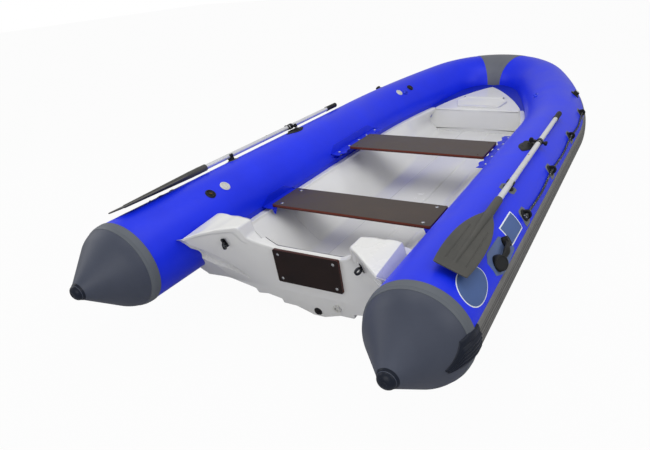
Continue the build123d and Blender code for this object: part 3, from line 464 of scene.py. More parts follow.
def skin_frame(station, degrees, side=1):
    """A point on the skin and its directions forward, round (towards the top) and outward."""
    t = travel_at(station)
    here, ahead = skin(t, degrees, 0, side), skin(t + 0.001, degrees, 0, side)
    turned, out = skin(t, degrees + 0.1, 0, side), skin(t, degrees, 0.01, side)
    return here, unit(ahead - here), unit(turned - here), unit(out - here)


print("tube straight to", round(straight_end, 3), "then bends for", round(bend, 3), "m")

# %% Tubes, as rings of skin
ring = np.linspace(0, 360, 120, endpoint=False)
SEAM_SLANT, SEAM_FOOT, TUCK = 0.58, 0.2, 0.012


def patch_edge(degrees):
    """Travel at which the bow patch starts: its seam is the line x = slant (reach - foot) in plan,
    where reach = bend radius + tube radius cos(angle), so the patch is wide outboard."""
    reach = quick + nose_radius * np.cos(np.radians(degrees))
    return whole - quick * np.arcsin(SEAM_SLANT * (reach - SEAM_FOOT) / reach)


bent = np.linspace(0, 1, 90)[1:, None]
rows = np.concatenate([np.linspace(-0.02, straight, 60)[:, None] + 0 * ring,
                       straight + bent * (patch_edge(ring) + TUCK - straight)])
for side_name, side in SIDES:
    piece(f"tube_{side_name}_skin", [grid(skin(rows, ring, 0.0, side))],
          [blue_fabric], [f"tube_{side_name}"])
print("tube rows", len(rows), "of", len(ring))

# %% [markdown]
# ## Bow patch
# The two tubes are joined at the nose by a grey panel. It is one more stretch of the
# same skin, raised by the thickness of the cloth, between two seams that slant so that
# it is widest outboard. Its far half is the near half mirrored.

# %% Bow patch
rows = patch_edge(ring) + np.linspace(0, 1, 44)[:, None] * (whole - patch_edge(ring))
near = skin(rows, ring, 0.0014)
tucked = skin(patch_edge(ring), ring, -0.004)[None]
rings = np.concatenate([tucked, near, near[::-1][1:] * MIRROR, tucked * MIRROR])
piece("bow_patch_skin", [grid(rings)], [patch_fabric], ["bow_patch"])

# %% [markdown]
# ## Tail cones
# A cone is a lathe shape: a straight run up from the cap at 50 degrees, then a
# shoulder arc that meets the tube in line. The weld to the tube is covered by a
# lighter tape, raised 1.8 mm, with a second lap along its forward half.

# %% Cones, tape and caps
cap_length, cap_radius, slope = 0.026, 0.038, math.radians(50)
fan = math.cos(slope) ** 2 - math.sin(slope) * (1 - math.sin(slope))
shoulder = (math.cos(slope) * (seam - cap_length) - math.sin(slope) * (radius - cap_radius)) / fan
swing = np.linspace(slope, math.pi / 2, 40)
arc_radius, arc_station = radius - shoulder * (1 - np.sin(swing)), seam - shoulder * np.cos(swing)


def cone_radius(station):
    """Radius of the cone at a station; past the seam it is the tube's."""
    return np.interp(station, [cap_length, *arc_station, 1.0], [cap_radius, *arc_radius, radius])


stations = np.concatenate([np.linspace(cap_length - 0.004, 0.25, 40),
                           np.linspace(0.252, seam + 0.004, 12)])
cone = np.concatenate([np.stack([cone_radius(stations) - 0.0004, stations], 1),
                       [[radius - 0.01, seam + 0.004]]])
band = mm((258, 0), (258.5, 1.4), (260, 1.8), (272, 1.8), (273, 2.8), (274.5, 3), (290, 3),
          (305, 3), (308.5, 2.8), (309.5, 1.5), (310, -2))
tape = np.concatenate([[[cone_radius(0.258) - 0.004, 0.258]],
                       np.stack([cone_radius(band[:, 0]) + band[:, 1], band[:, 0]], 1),
                       [[radius - 0.006, 0.31]]])
turn = np.linspace(0, np.pi / 2, 9)[3:]
dome = np.stack([cap_radius * np.sin(turn) * 0.98, cap_length * 0.9 * (1 - np.cos(turn))], 1)
skirt = mm((1.5, 25), (4.2, 29), (6.8, 33), (4.5, 34), (-4, 34))
cap = np.concatenate([[(0.003, 0.0028), (0.008, 0.0028), (0.0095, 0.0012), (0.0125, 0.0006)], dome,
                      skirt + [cap_radius, 0]])
for side_name, side in SIDES:
    tip, forward_y = place(side * spread, 0.0, 0.0), (0, 1, 0)
    piece(f"tail_cone_{side_name}_skin",
          [lathe(cone, tip, forward_y, 120), lathe(tape, tip, forward_y, 120, paint=1)],
          [slate_fabric, slate_tape], [f"tail_cone_{side_name}"])
    piece(f"cone_cap_{side_name}_rubber", [lathe(cap, tip, forward_y, 72)],
          [navy_rubber], [f"cone_cap_{side_name}"])
print("cone shoulder radius", round(shoulder, 3))

# %% [markdown]
# ## Rub strake
# An extruded rubber fender welded along the widest line of the tube. Its section has a
# flat margin along the top, a row of ribs, and a bevelled lower margin. Aft it ends in
# a moulded dark piece that runs to a point over the cone.

# %% Rub strake
low_edge, high_edge = -10.0, 18.0  # degrees round the tube
FIRST_RIB, LAST_RIB, RIB_PITCH, GROOVE = 0.1, 0.68, 0.145, 0.735  # shares of the width


def rib_wave(q):
    return np.abs(np.sin(np.pi * (q - FIRST_RIB) / RIB_PITCH))


def strake_profile(q):
    """Height above the skin at q, from 0 at the lower edge to 1: a bevelled slab plus four ribs."""
    base = 0.0052 * smoothstep(0, 0.05, q) * smoothstep(0, 0.04, 1 - q)
    ribs = 0.0048 * rib_wave(q) ** 0.6 * (q > FIRST_RIB) * (q < LAST_RIB)
    return base + ribs - 0.0035 * np.exp(-((q - GROOVE) / 0.014) ** 2)


def strake_shade(q):
    """How lit the rubber's colour is, as painted shade: 1 on the ribs and the top margin, 0 in the
    grooves and 0.15 on the lower margin.
    """
    margin = 1 - np.exp(-((q - GROOVE) / 0.016) ** 2)
    return np.where(q < FIRST_RIB, 0.15, np.where(q < LAST_RIB, rib_wave(q) ** 0.8, margin))


across = np.linspace(0, 1, 84)
behind = across[::-12]
rows = np.concatenate([np.linspace(0.0, straight, 40),
                       np.linspace(straight, whole - 0.0005, 90)[1:]])[:, None]
# the painted shade across the strake, carried in the UVs; 0 underneath
shade = np.concatenate([strake_shade(across), 0 * behind])
chart = np.stack(np.broadcast_arrays(shade, rows), -1)
# the pointed end piece, on the cone's shoulder
s = np.linspace(0, 1, 70)[:, None]
end_station = seam + 0.03 - (seam + 0.03 - 0.166) * s
over = np.interp(end_station, [0.166, 0.186, 0.221, 0.262, 0.311, 0.34],
                 [-9.0, 1.3, 20.3, 21.0, 18.6, 18.4])
below = np.interp(end_station, [0.166, 0.179, 0.206, 0.272, 0.311, 0.34],
                  [-10.0, -16.5, -13.0, -10.6, -10.6, -10.6])


def on_cone(side, q, lift):
    """Points on the end piece at q across it."""
    angle = np.radians((over + below) / 2 + (over - below) / 2 * (2 * q - 1))
    size = cone_radius(end_station) + lift
    return place(side * (spread + size * np.cos(angle)), end_station, size * np.sin(angle))


q = np.linspace(0, 1, 50)
end_lift = (strake_profile(q) + 0.0016) * (1 - 0.5 * s ** 3)
for side_name, side in SIDES:
    top = skin(rows, low_edge + (high_edge - low_edge) * across, strake_profile(across), side)
    under = skin(rows, low_edge + (high_edge - low_edge) * behind, -0.002, side)
    parts = [lined(top, under, uv=chart),
             lined(on_cone(side, q, end_lift), on_cone(side, q[::-7], -0.003), paint=1)]
    piece(f"rub_strake_{side_name}_ribbed", parts, [strake_rubber, navy_rubber],
          [f"rub_strake_{side_name}"], crease=50)
print("strake", round(math.radians(high_edge - low_edge) * radius * 1000), "mm wide")

# %% [markdown]
# ## Hull moulding
# Bottom and cockpit are one closed section carried from the transom to the bulkhead.
# The half section is a list of corners: keel, two stepped strakes, chine, the seat
# that hugs the tube, the flange, the cockpit's side and its floor. Rounding the
# corners of every section at once gives the soft moulded edges.

# %% Hull sections
share = np.array([0, 0.05, 0.19, 0.305, 0.31, 0.43, 0.525, 0.54, 0.79, 1.0])
level_share = np.array([0, 0, 0.28, 0.29, 0.5, 0.63, 0.55, 0.79, 1.1, 1.0])
below_reach = [0, 0.004, 0.012, 0.004, 0.005, 0.01, 0.004, 0.005, 0.02, 0.006, 0.004]
below_reach += [0.01] * 8 + [0.001]
DECK_AFT, DECK_LEVEL, tilt = 3.56, -0.016, math.radians(9.3)


def deck_height(station):
    """Height of the deck's top: a straight slope up from its aft edge."""
    return DECK_LEVEL + (station - DECK_AFT) * math.tan(tilt)


def keel_height(station):
    """Level aft, then rising as the power 2.6 of the run to the nose."""
    return -0.43 + 0.28 * (np.maximum(0, station - 2.5) / (nose - 0.04 - 2.5)) ** 2.6


def chine_height(station):
    """Level aft, then rising as the power 1.5 of the run to the nose."""
    return -0.298 + 0.278 * (np.maximum(0, station - 2.3) / (nose - 2.3)) ** 1.5


def inboard(station, degrees, gap=0.0006):
    """Half breadth and height of the inboard skin at a station, read across a table of points."""
    rings = skin(np.linspace(0, whole, 1600)[:, None], degrees, gap)
    at = rings[..., 1] - STERN
    return (np.stack([np.interp(station, at[:, k], rings[:, k, way]) for k in range(len(degrees))],
                     -1) - drop for way, drop in ((0, 0), (2, AXIS)))


def deck_edge(station, height, gap):
    """Half breadth between the tubes at a station and height."""
    x, z = inboard(station, np.linspace(215, 150, 60), gap)
    return np.array([np.interp(each, zi, xi) for each, zi, xi in zip(height, z, x)])


def bottom_half(station, top):
    """Half section (station, corner, 2): knuckles as shares of the chine's breadth and depth,
    then nine seat points round the tube up to `top`."""
    x, z = inboard(station, np.linspace(257, 175, 42))
    last = z.shape[1] - 1
    reach = np.array([np.interp(t, zi, np.arange(last + 1)) for t, zi in zip(top, z)])
    picks = np.linspace(0, 1, 9)[None] * reach[:, None]
    lower = np.floor(picks).astype(int).clip(0, last - 1)
    part, rows = picks - lower, np.arange(len(station))[:, None]
    seat = np.stack([v[rows, lower] * (1 - part) + v[rows, lower + 1] * part for v in (x, z)], -1)
    seat[..., 0] = np.maximum(seat[..., 0], 0.012)
    half, seat_foot = seat[:, 0, 0] - 0.007, seat[:, 0, 1]
    chine = np.minimum(chine_height(station), seat_foot - 0.014)
    keel = np.minimum(keel_height(station), chine - 0.007)
    knuckles = np.stack([share * half[:, None],
                         keel[:, None] + level_share * (chine - keel)[:, None]], -1)
    lip = np.stack([half + 0.007, chine + 0.45 * (seat_foot - chine)], -1)[:, None]
    return np.concatenate([knuckles, lip, seat], 1)


def moulding(station, half, reach):
    """Closed sections: the starboard half from the keel up and in, mirrored, then rounded."""
    section = np.concatenate([half, half[:, ::-1] * [-1, 1]], 1)
    section = rounded(section, reach + reach[::-1], 5)
    return place(section[..., 0], station[:, None], section[..., 1])


# %% Hull and cockpit
stations = np.unique(np.concatenate([np.linspace(0.7653, 1.2, 14), np.linspace(1.2, 1.28, 21),
                                     np.linspace(1.28, 2.6, 22), np.linspace(2.6, 3.56, 34)]))
climb = nose_climb * (np.maximum(0, stations - straight_end) / bend) ** 2
half = bottom_half(stations, climb - 0.04)
rim_x, rim_z = half[:, -1].T
step = 0.01 * smoothstep(1.236, 1.244, stations)
flare = smoothstep(2.5, 3.56, stations)
floor = -0.25 + 0.022 * smoothstep(3.0, 3.56, stations)
inner = [(rim_x - 0.004, rim_z + 0.004), (rim_x - 0.04, rim_z + 0.004),
         (rim_x - 0.046, rim_z - 0.012), (0.395 + step + 0.06 * flare, -0.135),
         (0.265 + step + 0.08 * flare, floor), (0.128, floor - 0.0005),
         (0.12, floor + 0.0055), (0.05, floor + 0.0055)]
inner = np.stack([np.stack(np.broadcast_arrays(x, z), -1) for x, z in inner], 1)
well = moulding(stations, np.concatenate([half, inner], 1),
                below_reach + [0.003, 0.004, 0.006, 0.05, 0.03, 0.004, 0.004, 0.004])
stem_stations = np.concatenate([np.linspace(3.5595, 4.15, 40), np.linspace(4.152, 4.28, 14)])
half = bottom_half(stem_stations, deck_height(stem_stations) - 0.0135)
half = np.concatenate([half, half[:, -1:] * [0.8, 1], half[:, -1:] * [0.5, 1]], 1)
stem = moulding(stem_stations, half, below_reach + [0, 0])
piece("hull_moulding", [grid(well), grid(stem)], [gelcoat], ["hull"], crease=30)
print("hull sections", well.shape, stem.shape)

# %% [markdown]
# ## Transom
# The stern moulding leans forward amidships and sweeps aft to two ears that lie along
# the tubes. Four curves bound its face: the bottom, the middle line, the top edge and
# the saddle on the tube. A Coons patch blends them: the sum of the two ruled surfaces
# between opposite curves, less the bilinear patch through the four corners.

# %% Transom face and box
KNUCKLE, BOARD_AFT, RAKE = -0.29, 0.743, 0.169  # where the face changes slope, and the slope below


def aft_station(x, height):
    """Station of the aft face: raked amidships, swept aft with height and distance outboard."""
    rise = (height - KNUCKLE) / 0.39
    sweep = np.clip((np.abs(x) - 0.197) / 0.343, 0, 1) ** 1.15
    upper = BOARD_AFT - 0.025 * rise - 0.252 * rise * sweep
    return np.where(height < KNUCKLE, BOARD_AFT + RAKE * (KNUCKLE - height), upper)


def along(path, u, soft=0.0):
    """Points at fractions u of a polyline's length, its corners rounded by `soft` first."""
    path = np.asarray(path, float)
    if soft:
        path = rounded(path, soft, 5, closed=False)
    run = travelled(path)
    return np.stack([np.interp(u, run / run[-1], path[:, k]) for k in (0, 1)], -1)


u, v = np.linspace(0, 1, 130), np.linspace(0, 1, 104)
keel_edge = bottom_half(np.array([0.765, 0.766]), np.array([-0.04, -0.04]))[0]
ear_tip = (0.536, 0.1)
bottom_edge = along(keel_edge[:11], u, 0.005)
top_edge = along([(0, -0.026), (0.197, -0.026), (0.255, 0.003), (0.283, 0.024), (0.308, 0.05),
                  (0.322, 0.117), (0.4, 0.124), (0.47, 0.118), ear_tip], u, 0.01)
saddle_turn = np.radians(np.linspace(256, 152, 60))
saddle = np.stack([np.cos(saddle_turn), np.sin(saddle_turn)], 1) * (radius + 0.0012) + [spread, 0]
side_edge = along([*keel_edge[10:12], *saddle[saddle[:, 1] < 0.088][1:], ear_tip], v)
middle_edge = along([(0, keel_edge[0, 1]), (0, -0.026)], v)
U, V = u[None, :, None], v[:, None, None]
blended = ((1 - V) * bottom_edge + V * top_edge
           + (1 - U) * middle_edge[:, None] + U * side_edge[:, None]
           - (1 - U) * (1 - V) * bottom_edge[0] - U * (1 - V) * bottom_edge[-1]
           - (1 - U) * V * top_edge[0] - U * V * top_edge[-1])
px, pz = blended[..., 0], blended[..., 1]
top_x, top_z = top_edge.T


def inside_triangle(x, z, corners):
    """Distance inside a triangle's nearest side, positive within it, for corners in order."""
    gaps = []
    for a, b in zip(corners, np.roll(corners, -1, 0)):
        leg = unit(b - a)
        gaps.append(leg[1] * (x - a[0]) - leg[0] * (z - a[1]))
    return np.min(gaps, 0)


hollow = inside_triangle(px, pz, mm((556, 78), (585, -85), (395, -262)))
recess = 0.026 * smoothstep(-0.001, 0.009, hollow)
rim_drop = top_z - pz
ear = smoothstep(0.3, 0.33, px)
bead = (0.007 * ear * (1 - smoothstep(0.016, 0.03, rim_drop))
        * smoothstep(0.0, 0.01, rim_drop + 0.004))
aft_face = aft_station(px, pz) + recess - bead
top_aft = aft_face[-1]
# over the top: a quarter round from the aft face, the roof, another, then down the front
HULL_FRONT, EAR_FRONT = 0.766, 0.741
box_front = np.where(top_x > 0.27, EAR_FRONT, HULL_FRONT)
soft = np.minimum(0.012, 0.3 * (box_front - top_aft))
raised = 0.022 * smoothstep(0.42, 0.53, top_x)
over = np.linspace(0, np.pi / 2, 6)[:, None]
opening, closing = soft * (1 - np.sin(over)), soft * (1 - np.cos(over))
roof = np.linspace(0, 1, 10)[1:-1, None]
lean = np.clip((top_z - pz[::-1]) / 0.16, 0, 1)
front = box_front + (HULL_FRONT - box_front) * lean + 0.02 * ear[::-1] * lean
half_grid = np.concatenate([
    place(px[:-1], aft_face[:-1], pz[:-1]),
    place(top_x, top_aft + closing, top_z - opening),
    place(top_x, (top_aft + soft) * (1 - roof) + (box_front - soft) * roof, top_z + raised * roof),
    place(top_x, box_front - opening, top_z + raised - closing),
    place(px[::-1][1:], front[1:], pz[::-1][1:])])
wide = np.concatenate([half_grid[:, ::-1] * MIRROR, half_grid[:, 1:]], 1)
piece("transom_moulding", [grid(np.swapaxes(wide, 0, 1))], [gelcoat], ["transom"],
      crease=30)
print("transom grid", wide.shape)

# %% [markdown]
# ## Foredeck
# A flat moulded panel closes the bow. Its outline follows the tubes to a point, and it
# slopes up to the nose at 9.3 degrees. Its aft edge is softened, and its sides turn
# up a little against the tubes.

# %% Foredeck panel
stations = np.concatenate([[3.5585, 3.5587, 3.5595, 3.5615, 3.565], np.linspace(3.57, 4.11, 50)])
drop = np.concatenate([[0.014, 0.006, 0.003, 0.0008, 0.0], np.zeros(50)])
top = deck_height(stations)
q = np.linspace(-1, 1, 61)
width = deck_edge(stations, top, 0.0045)[:, None] * q
hem = 0.004 * smoothstep(0.965, 1, abs(q))
upper = place(width, stations[:, None], (top - drop)[:, None] + hem)
under = place(width[:, ::-1], stations[:, None], (top - 0.0138)[:, None])
piece("foredeck_panel", [lined(upper, under)], [gelcoat], ["foredeck"], crease=30)

# %% [markdown]
# ## Locker lid
# The lid is a six-cornered pan with a raised border and a gently dished middle. Rings
# of its outline shrink towards the centre while their height follows the profile.

# %% Locker lid
LID_AFT = 3.604
lid_x = np.array([1.0, 0, 0])
deck_along = np.array([0, math.cos(tilt), math.sin(tilt)])
deck_up = np.array([0, -math.sin(tilt), math.cos(tilt)])
lid_origin = place(0.0, LID_AFT, deck_height(LID_AFT)) + deck_up * 0.0005
corner = mm((190, 0), (240, 138), (178, 195), (178, 213.5))
corner_reach = [0.02, 0.03, 0.012, 0.001]
outline = rounded(np.concatenate([corner, corner[::-1] * [-1, 1]]),
                  corner_reach + corner_reach[::-1], 7)
centre = np.array([0.0, 0.104])
profile = np.array([(1.0, 0.0), (1.0, 0.009), (0.995, 0.012), (0.985, 0.014), (0.93, 0.014),
                    (0.905, 0.0132), (0.895, 0.0112), (0.88, 0.0108), (0.6, 0.0116),
                    (0.3, 0.0122), (0.02, 0.0125)])
flat = centre + (outline - centre) * profile[:, None, :1]
pan = (lid_origin + flat[..., :1] * lid_x + flat[..., 1:] * deck_along
       + profile[:, None, 1:] * deck_up)
roll_radius = 0.007
roll_origin = lid_origin + deck_along * 0.215 + deck_up * roll_radius
roll_x = np.linspace(-0.178, 0.178, 9)[:, None, None]
hinge_roll = roll_origin + roll_x * lid_x + roll_radius * (circle(24) @ [deck_along, deck_up])
piece("bow_locker_lid_pan", [grid(pan), grid(hinge_roll)], [gelcoat],
      ["bow_locker_lid"], crease=30, body="locker_lid")
print("lid", outline.shape)

# %% [markdown]
# ## Things glued to the tubes
# A glued patch is an outline in metres along and round the tube, wrapped onto the
# skin. Its rings shrink from the edge inwards, and a short list of insets and heights
# is its profile. A swept rod is a ring of points carried along a path.

# %% Patch and rod helpers
def dense(outline, step=0.005):
    """The same outline with points no more than `step` apart, so that it follows the skin."""
    ends = np.roll(outline, -1, 0)
    counts = np.ceil(np.linalg.norm(ends - outline, axis=1) / step).astype(int).clip(1)
    which = np.repeat(np.arange(len(counts)), counts)
    part = (np.arange(len(which)) - np.repeat(np.cumsum(counts) - counts, counts)) / counts[which]
    return outline[which] * (1 - part[:, None]) + ends[which] * part[:, None]


def patch(side, station, degrees, outline, steps, paint=0):
    """Rings of an outline (forward, round) on the skin; steps are (inset, height) from its edge."""
    outline, (inset, height) = dense(outline), steps.T
    scale = 1 - inset[:, None] / np.abs(outline).max(0)
    scale = np.concatenate([scale, scale[-1] * np.linspace(1, 0.02, 9)[1:, None]])
    lift = np.pad(height, (0, 8), "edge")[:, None]
    along_tube, round_tube = np.moveaxis(outline * scale[:, None], -1, 0)
    return grid(skin(travel_at(station) + along_tube, degrees + np.degrees(round_tube / radius),
                     lift, side), paint)


def box_outline(length, width, corner):
    """A rectangle with rounded corners, its length forward."""
    return rounded(np.array([(-1, -1), (1, -1), (1, 1), (-1, 1)]) * [length / 2, width / 2],
                   corner, 6)


def oval(length, width, count=72):
    return circle(count) * [length / 2, width / 2]


def rod(path, size, count, flat=1.0, lobes=0.0, pitch=1.0, lean=(0, 0, 1.0)):
    """A ring along a path: size (across cos + flat rise sin); lobes are three twisted strands."""
    tangent = unit(np.gradient(path, axis=0))
    across = unit(np.cross(lean, tangent))
    turn = np.linspace(0, 2 * np.pi, count, endpoint=False)
    twist = 2 * np.pi * travelled(path)[:, None] / pitch
    reach = np.broadcast_to(size, len(path))[:, None] * (1 + lobes * np.cos(3 * turn - twist))
    return grid(path[:, None] + across[:, None] * (reach * np.cos(turn))[..., None]
                + np.cross(tangent, across)[:, None] * (flat * reach * np.sin(turn))[..., None])


def bolt(origin, axis, size, height, paint=0):
    """A pan-head screw on a washer, with a small drive socket."""
    profile = [(size * 1.45, -0.001), (size * 1.45, 0.0008), (size * 1.05, 0.0012), (size, 0.0014),
               (size * 0.95, height * 0.8), (size * 0.75, height), (size * 0.36, height),
               (size * 0.3, height * 0.45), (0.0004, height * 0.4)]
    return lathe(profile, origin, axis, 28, paint)


# %% Badge and number patch, both blank
lapped_edge = mm((0, -1.5), (0, 0.7), (0.6, 1.1), (3, 1.1))
filled = mm((0, 0.6), (0, 1.4), (0.5, 1.6), (3, 1.6))
for side_name, side in SIDES:
    for name, spot, border, field in (
            ("badge", (0.455, 43.0), oval(0.22, 0.15, 96), oval(0.211, 0.141, 96)),
            ("size", (0.985, 39.2), box_outline(0.186, 0.1, 0.004),
             box_outline(0.173, 0.087, 0.003))):
        piece(f"{name}_{side_name}_patch",
              [patch(side, *spot, border, lapped_edge, 1), patch(side, *spot, field, filled)],
              [badge_fill, badge_edge])

# %% [markdown]
# ## Carrying handles, line eyes and the grab line
# Both are black rubber mouldings on cut patches of tube cloth. The grab line is
# three-strand rope that runs slack through four eyes on each side, with a stopper
# knot at each end.

# %% Handles
handle_spot = (0.765, 33.5)
octagon = np.array([(0.838, 48.0), (0.673, 48.7), (0.626, 42.4), (0.632, 25.6), (0.715, 16.4),
                    (0.903, 21.4), (0.891, 32.9)])
octagon = (octagon - handle_spot) * [1, math.radians(radius)]
foot = mm((30, -12), (36, -2), (36.5, 6), (34, 16), (33.5, 26), (31, 28.5), (27.5, 29),
          (26, 27.2), (12, 26.8), (0.6, 27))
t = np.linspace(0, 1, 22)[:, None]
grip_size = 0.0135 + 0.004 * np.cos(2 * np.pi * t[:, 0]) ** 2
for side_name, side in SIDES:
    aft_spot, ahead, _, out = skin_frame(0.695, 32.0, side)
    front_spot = skin_frame(0.846, 37.5, side)[0]
    arch = ((aft_spot + out * 0.014) * (1 - t) + (front_spot + out * 0.01) * t
            + out * 0.058 * t * (1 - t))
    piece(f"carry_handle_{side_name}",
          [lathe(foot, aft_spot, out * 0.86 - ahead * 0.5, 48),
           lathe(foot * [0.72, 0.8], front_spot, out + ahead * 0.25, 40),
           rod(arch, grip_size, 24, 0.7, lean=out),
           patch(side, *handle_spot, rounded(octagon, 0.004), lapped_edge, 1)],
          [black_rubber, handle_patch], ["carry_handles"] if side < 0 else [])

# %% Line eyes
eye_stations, eye_angle = np.array([1.168, 1.793, 2.453, 3.01]), 33.0
cut_square = mm((-42, -28), (-30, -44), (30, -44), (42, -28))
cut_square = rounded(np.concatenate([cut_square, -cut_square]), 0.002, 3)
eye_profile = mm((26, -6), (31, 0), (31.2, 3), (29, 5.5), (22, 7.5), (17, 10), (12, 10.5),
                 (0.5, 10.5))
over = np.linspace(-0.25, np.pi + 0.25, 18)[:, None]
bridge_size = 0.0068 + 0.0022 * np.abs(np.cos(over[:, 0]))
eyes = []
for _, side in SIDES:
    for station in eye_stations:
        spot, ahead, sideways, out = skin_frame(station, eye_angle, side)
        bridge = spot + out * 0.01 + 0.0165 * (sideways * np.cos(over) + out * 1.25 * np.sin(over))
        eyes += [lathe(eye_profile, spot, out, 40), rod(bridge, bridge_size, 16, 0.62, lean=ahead),
                 patch(side, station, eye_angle - 1.5, cut_square, lapped_edge, 1)]
piece("grab_line_eyes_moulded", eyes, [black_rubber, eye_patch],
      ["grab_line_eyes"])

# %% Grab lines
rope_size, knot_size, tail = 0.0055, 0.0125, 0.026
first_eye, last_eye = eye_stations[[0, -1]]
# between two eyes: share of the way, degrees below the eyes, height above the skin
sag = [(0.0, 0.0, 0.017), (0.06, 0.6, 0.0135), (0.18, 2.6, 0.0078), (0.5, 5.0, 0.0072),
       (0.82, 2.6, 0.0078), (0.94, 0.6, 0.0135)]
spans = [(a * (1 - part) + b * part, eye_angle - fall, lift)
         for a, b in zip(eye_stations[:-1], eye_stations[1:]) for part, fall, lift in sag]
spans = np.array([(first_eye - tail, eye_angle, 0.015), *spans, (last_eye, eye_angle, 0.017),
                  (last_eye + tail, eye_angle, 0.015)])
knot_turn = np.linspace(0, np.pi, 12)
knot = np.stack([np.sin(knot_turn), -np.cos(knot_turn)], 1) * knot_size + [0.0003, 0]
for side_name, side in SIDES:
    pins = skin(travel_at(spans[:, 0]), spans[:, 1], spans[:, 2], side)
    route = bpy.data.curves.new(f"grab_line_{side_name}_route", "CURVE")
    route.dimensions = "3D"
    route.resolution_u = 14
    line = route.splines.new("NURBS")
    line.points.add(len(pins) - 1)
    line.points.foreach_set("co", np.concatenate([pins, np.ones((len(pins), 1))], 1).ravel())
    line.order_u, line.use_endpoint_u = 3, True
    holder = bpy.data.objects.new(f"grab_line_{side_name}_route", route)
    traced = bpy.data.meshes.new_from_object(holder)
    path = np.zeros(len(traced.vertices) * 3)
    traced.vertices.foreach_get("co", path)
    path = path.reshape(-1, 3)
    bpy.data.objects.remove(holder)
    bpy.data.curves.remove(route)
    bpy.data.meshes.remove(traced)
    run = travelled(path)
    even = np.linspace(0, 1, 900) * run[-1]
    fine_path = np.stack([np.interp(even, run, path[:, k]) for k in range(3)], 1)
    rope = piece(f"grab_line_{side_name}", [rod(fine_path, rope_size, 18, 1.0, 0.11, 0.03)],
                 [rope_fibre], crease=60)
    piece(f"grab_line_{side_name}_knots",
          [lathe(knot, end, (0.2, 1, 0.1), 24) for end in fine_path[[0, -1]]],
          [rope_fibre])
    print("grab line", side_name, round(float(run[-1]), 3), "m")

# %% [markdown]
# ## Bench flaps
# The benches hang on flaps of tube cloth: a strip welded to the inboard side of each
# tube and folded in under the bench's end, its free edge scalloped between the bolts.

# %% Flaps and bolts
def bench_flap(side, aft, front, height, top_angle, edge, wave):
    """A folded strip: a shelf at the bench's underside, then up the skin to top_angle."""
    stations = np.linspace(aft, front, 90)[:, None]
    free = edge + wave * np.sin(2 * np.pi * (stations - aft) / 0.112)
    contact = spread - math.sqrt(radius ** 2 - height ** 2) - 0.003
    shelf = np.linspace(0, 1, 9)
    ripple = 0.0022 * np.sin(2 * np.pi * (stations - aft) / 0.085)
    taper = smoothstep(-0.02, 0.09, np.minimum(stations - aft, front - stations))
    low = math.degrees(math.pi - math.asin(height / radius))
    angles = low + (top_angle - low) * np.linspace(0.04, 1, 12) * taper
    on_tube = skin(travel_at(stations), angles, 0.0024)
    x = np.concatenate([free * (1 - shelf) + contact * shelf, on_tube[..., 0]], 1)
    z = np.concatenate([height - 0.0015 + ripple * (1 - shelf), on_tube[..., 2] - AXIS], 1)
    back_x, back_z = x[:, ::-1].copy(), z[:, ::-1].copy()
    back_z[:, -9:] -= 0.003
    back_x[:, :-9] += 0.0042
    return lined(place(side * x, stations, z), place(side * back_x, stations, back_z))


def plate(corners, aft, front, side):
    """A small plate standing across the boat between two stations, its corners softened."""
    x, z = rounded(corners, 0.004).T
    return grid(place(side * x, np.array([[aft], [front]]), z))


up_way, both = (0, 0, 1.0), (-1, 1)
tab = mm((470, -12), (515, -12), (498, -52), (488, -56))
aft_cloth = [bench_flap(side, 1.12, 1.44, -0.012, 171.0, 0.488, 0.002) for side in both]
aft_cloth += [plate(tab, 1.1395, 1.1425, side) for side in both]
forward_cloth = [bench_flap(side, 1.95, 2.63, 0.044, 156.0, 0.499, 0.009) for side in both]
forward_cloth += [bench_flap(side, 1.985, 2.16, 0.01, 168.0, 0.535, 0.003) for side in both]
for side in both:
    forward_cloth += [bolt(place(side * 0.541, station, 0.0435), up_way, 0.0052, 0.0035, 1)
                      for station in (2.02, 2.168, 2.318, 2.445, 2.59)]
    forward_cloth += [bolt(place(side * 0.556, 2.06, 0.0095), up_way, 0.0058, 0.0035, 1)]
for end, cloth in (("aft", aft_cloth), ("forward", forward_cloth)):
    piece(f"bench_{end}_flaps_cloth", cloth, [blue_tape, pale_plastic],
          [f"bench_{end}_flaps"])
piece("bench_aft_screws", [bolt(place(x, station, 0.006), up_way, 0.0072, 0.0034)
                           for x in (-0.453, 0.453) for station in (1.174, 1.379)],
      [steel])

# %% [markdown]
# ## Welded tapes
# A strip of cloth seals the hull's flange to each tube, and at the bow a wide sheet
# bridges from the tubes to the pointed edge of the foredeck.

# %% Flange tape and bow sheet
tape_run = travel_at(np.linspace(0.79, 3.62, 150))[:, None]
tape_angles = np.array([181.6, 181.9, 186, 190, 192.2, 192.4])
tape_lifts = np.array([-0.001, 0.0016, 0.0016, 0.0022, 0.0022, -0.001])
for side_name, side in SIDES:
    piece(f"flange_tape_{side_name}", [grid(skin(tape_run, tape_angles, tape_lifts, side))],
          [blue_tape])

inner_line = mm((3505, 436), (3550, 402), (3610, 383), (3675, 348), (3750, 304), (3820, 256),
                (3895, 200), (3967, 140), (4030, 80), (4070, 35), (4092, 1), (4130, 0.5))
gusset = mm((400, -16), (446, -16), (444, -100), (436, -104))
stations = np.linspace(3.506, 4.1285, 150)
plane = deck_height(stations) + 0.0035
outer_x = deck_edge(stations, plane + 0.004, 0.0005)
inner_x = np.minimum(np.interp(stations, *inner_line.T), outer_x - 0.001)
q = np.linspace(0, 1, 14)
x = inner_x[:, None] * (1 - q) + outer_x[:, None] * q
z = plane[:, None] + 0.006 * q ** 3
bow_sheet = []
for side in both:
    bow_sheet += [lined(place(side * x, stations[:, None], z),
                        place(side * x[:, ::-1], stations[:, None], z[:, ::-1] - 0.0035)),
                  plate(gusset, 3.549, 3.5525, side)]
# the bow sheet's darker blue is painted shade
piece("bow_sheet", bow_sheet, [blue_tape_painted_shade])
print("bow sheet from", stations[0].round(2), "to", stations[-1].round(2))

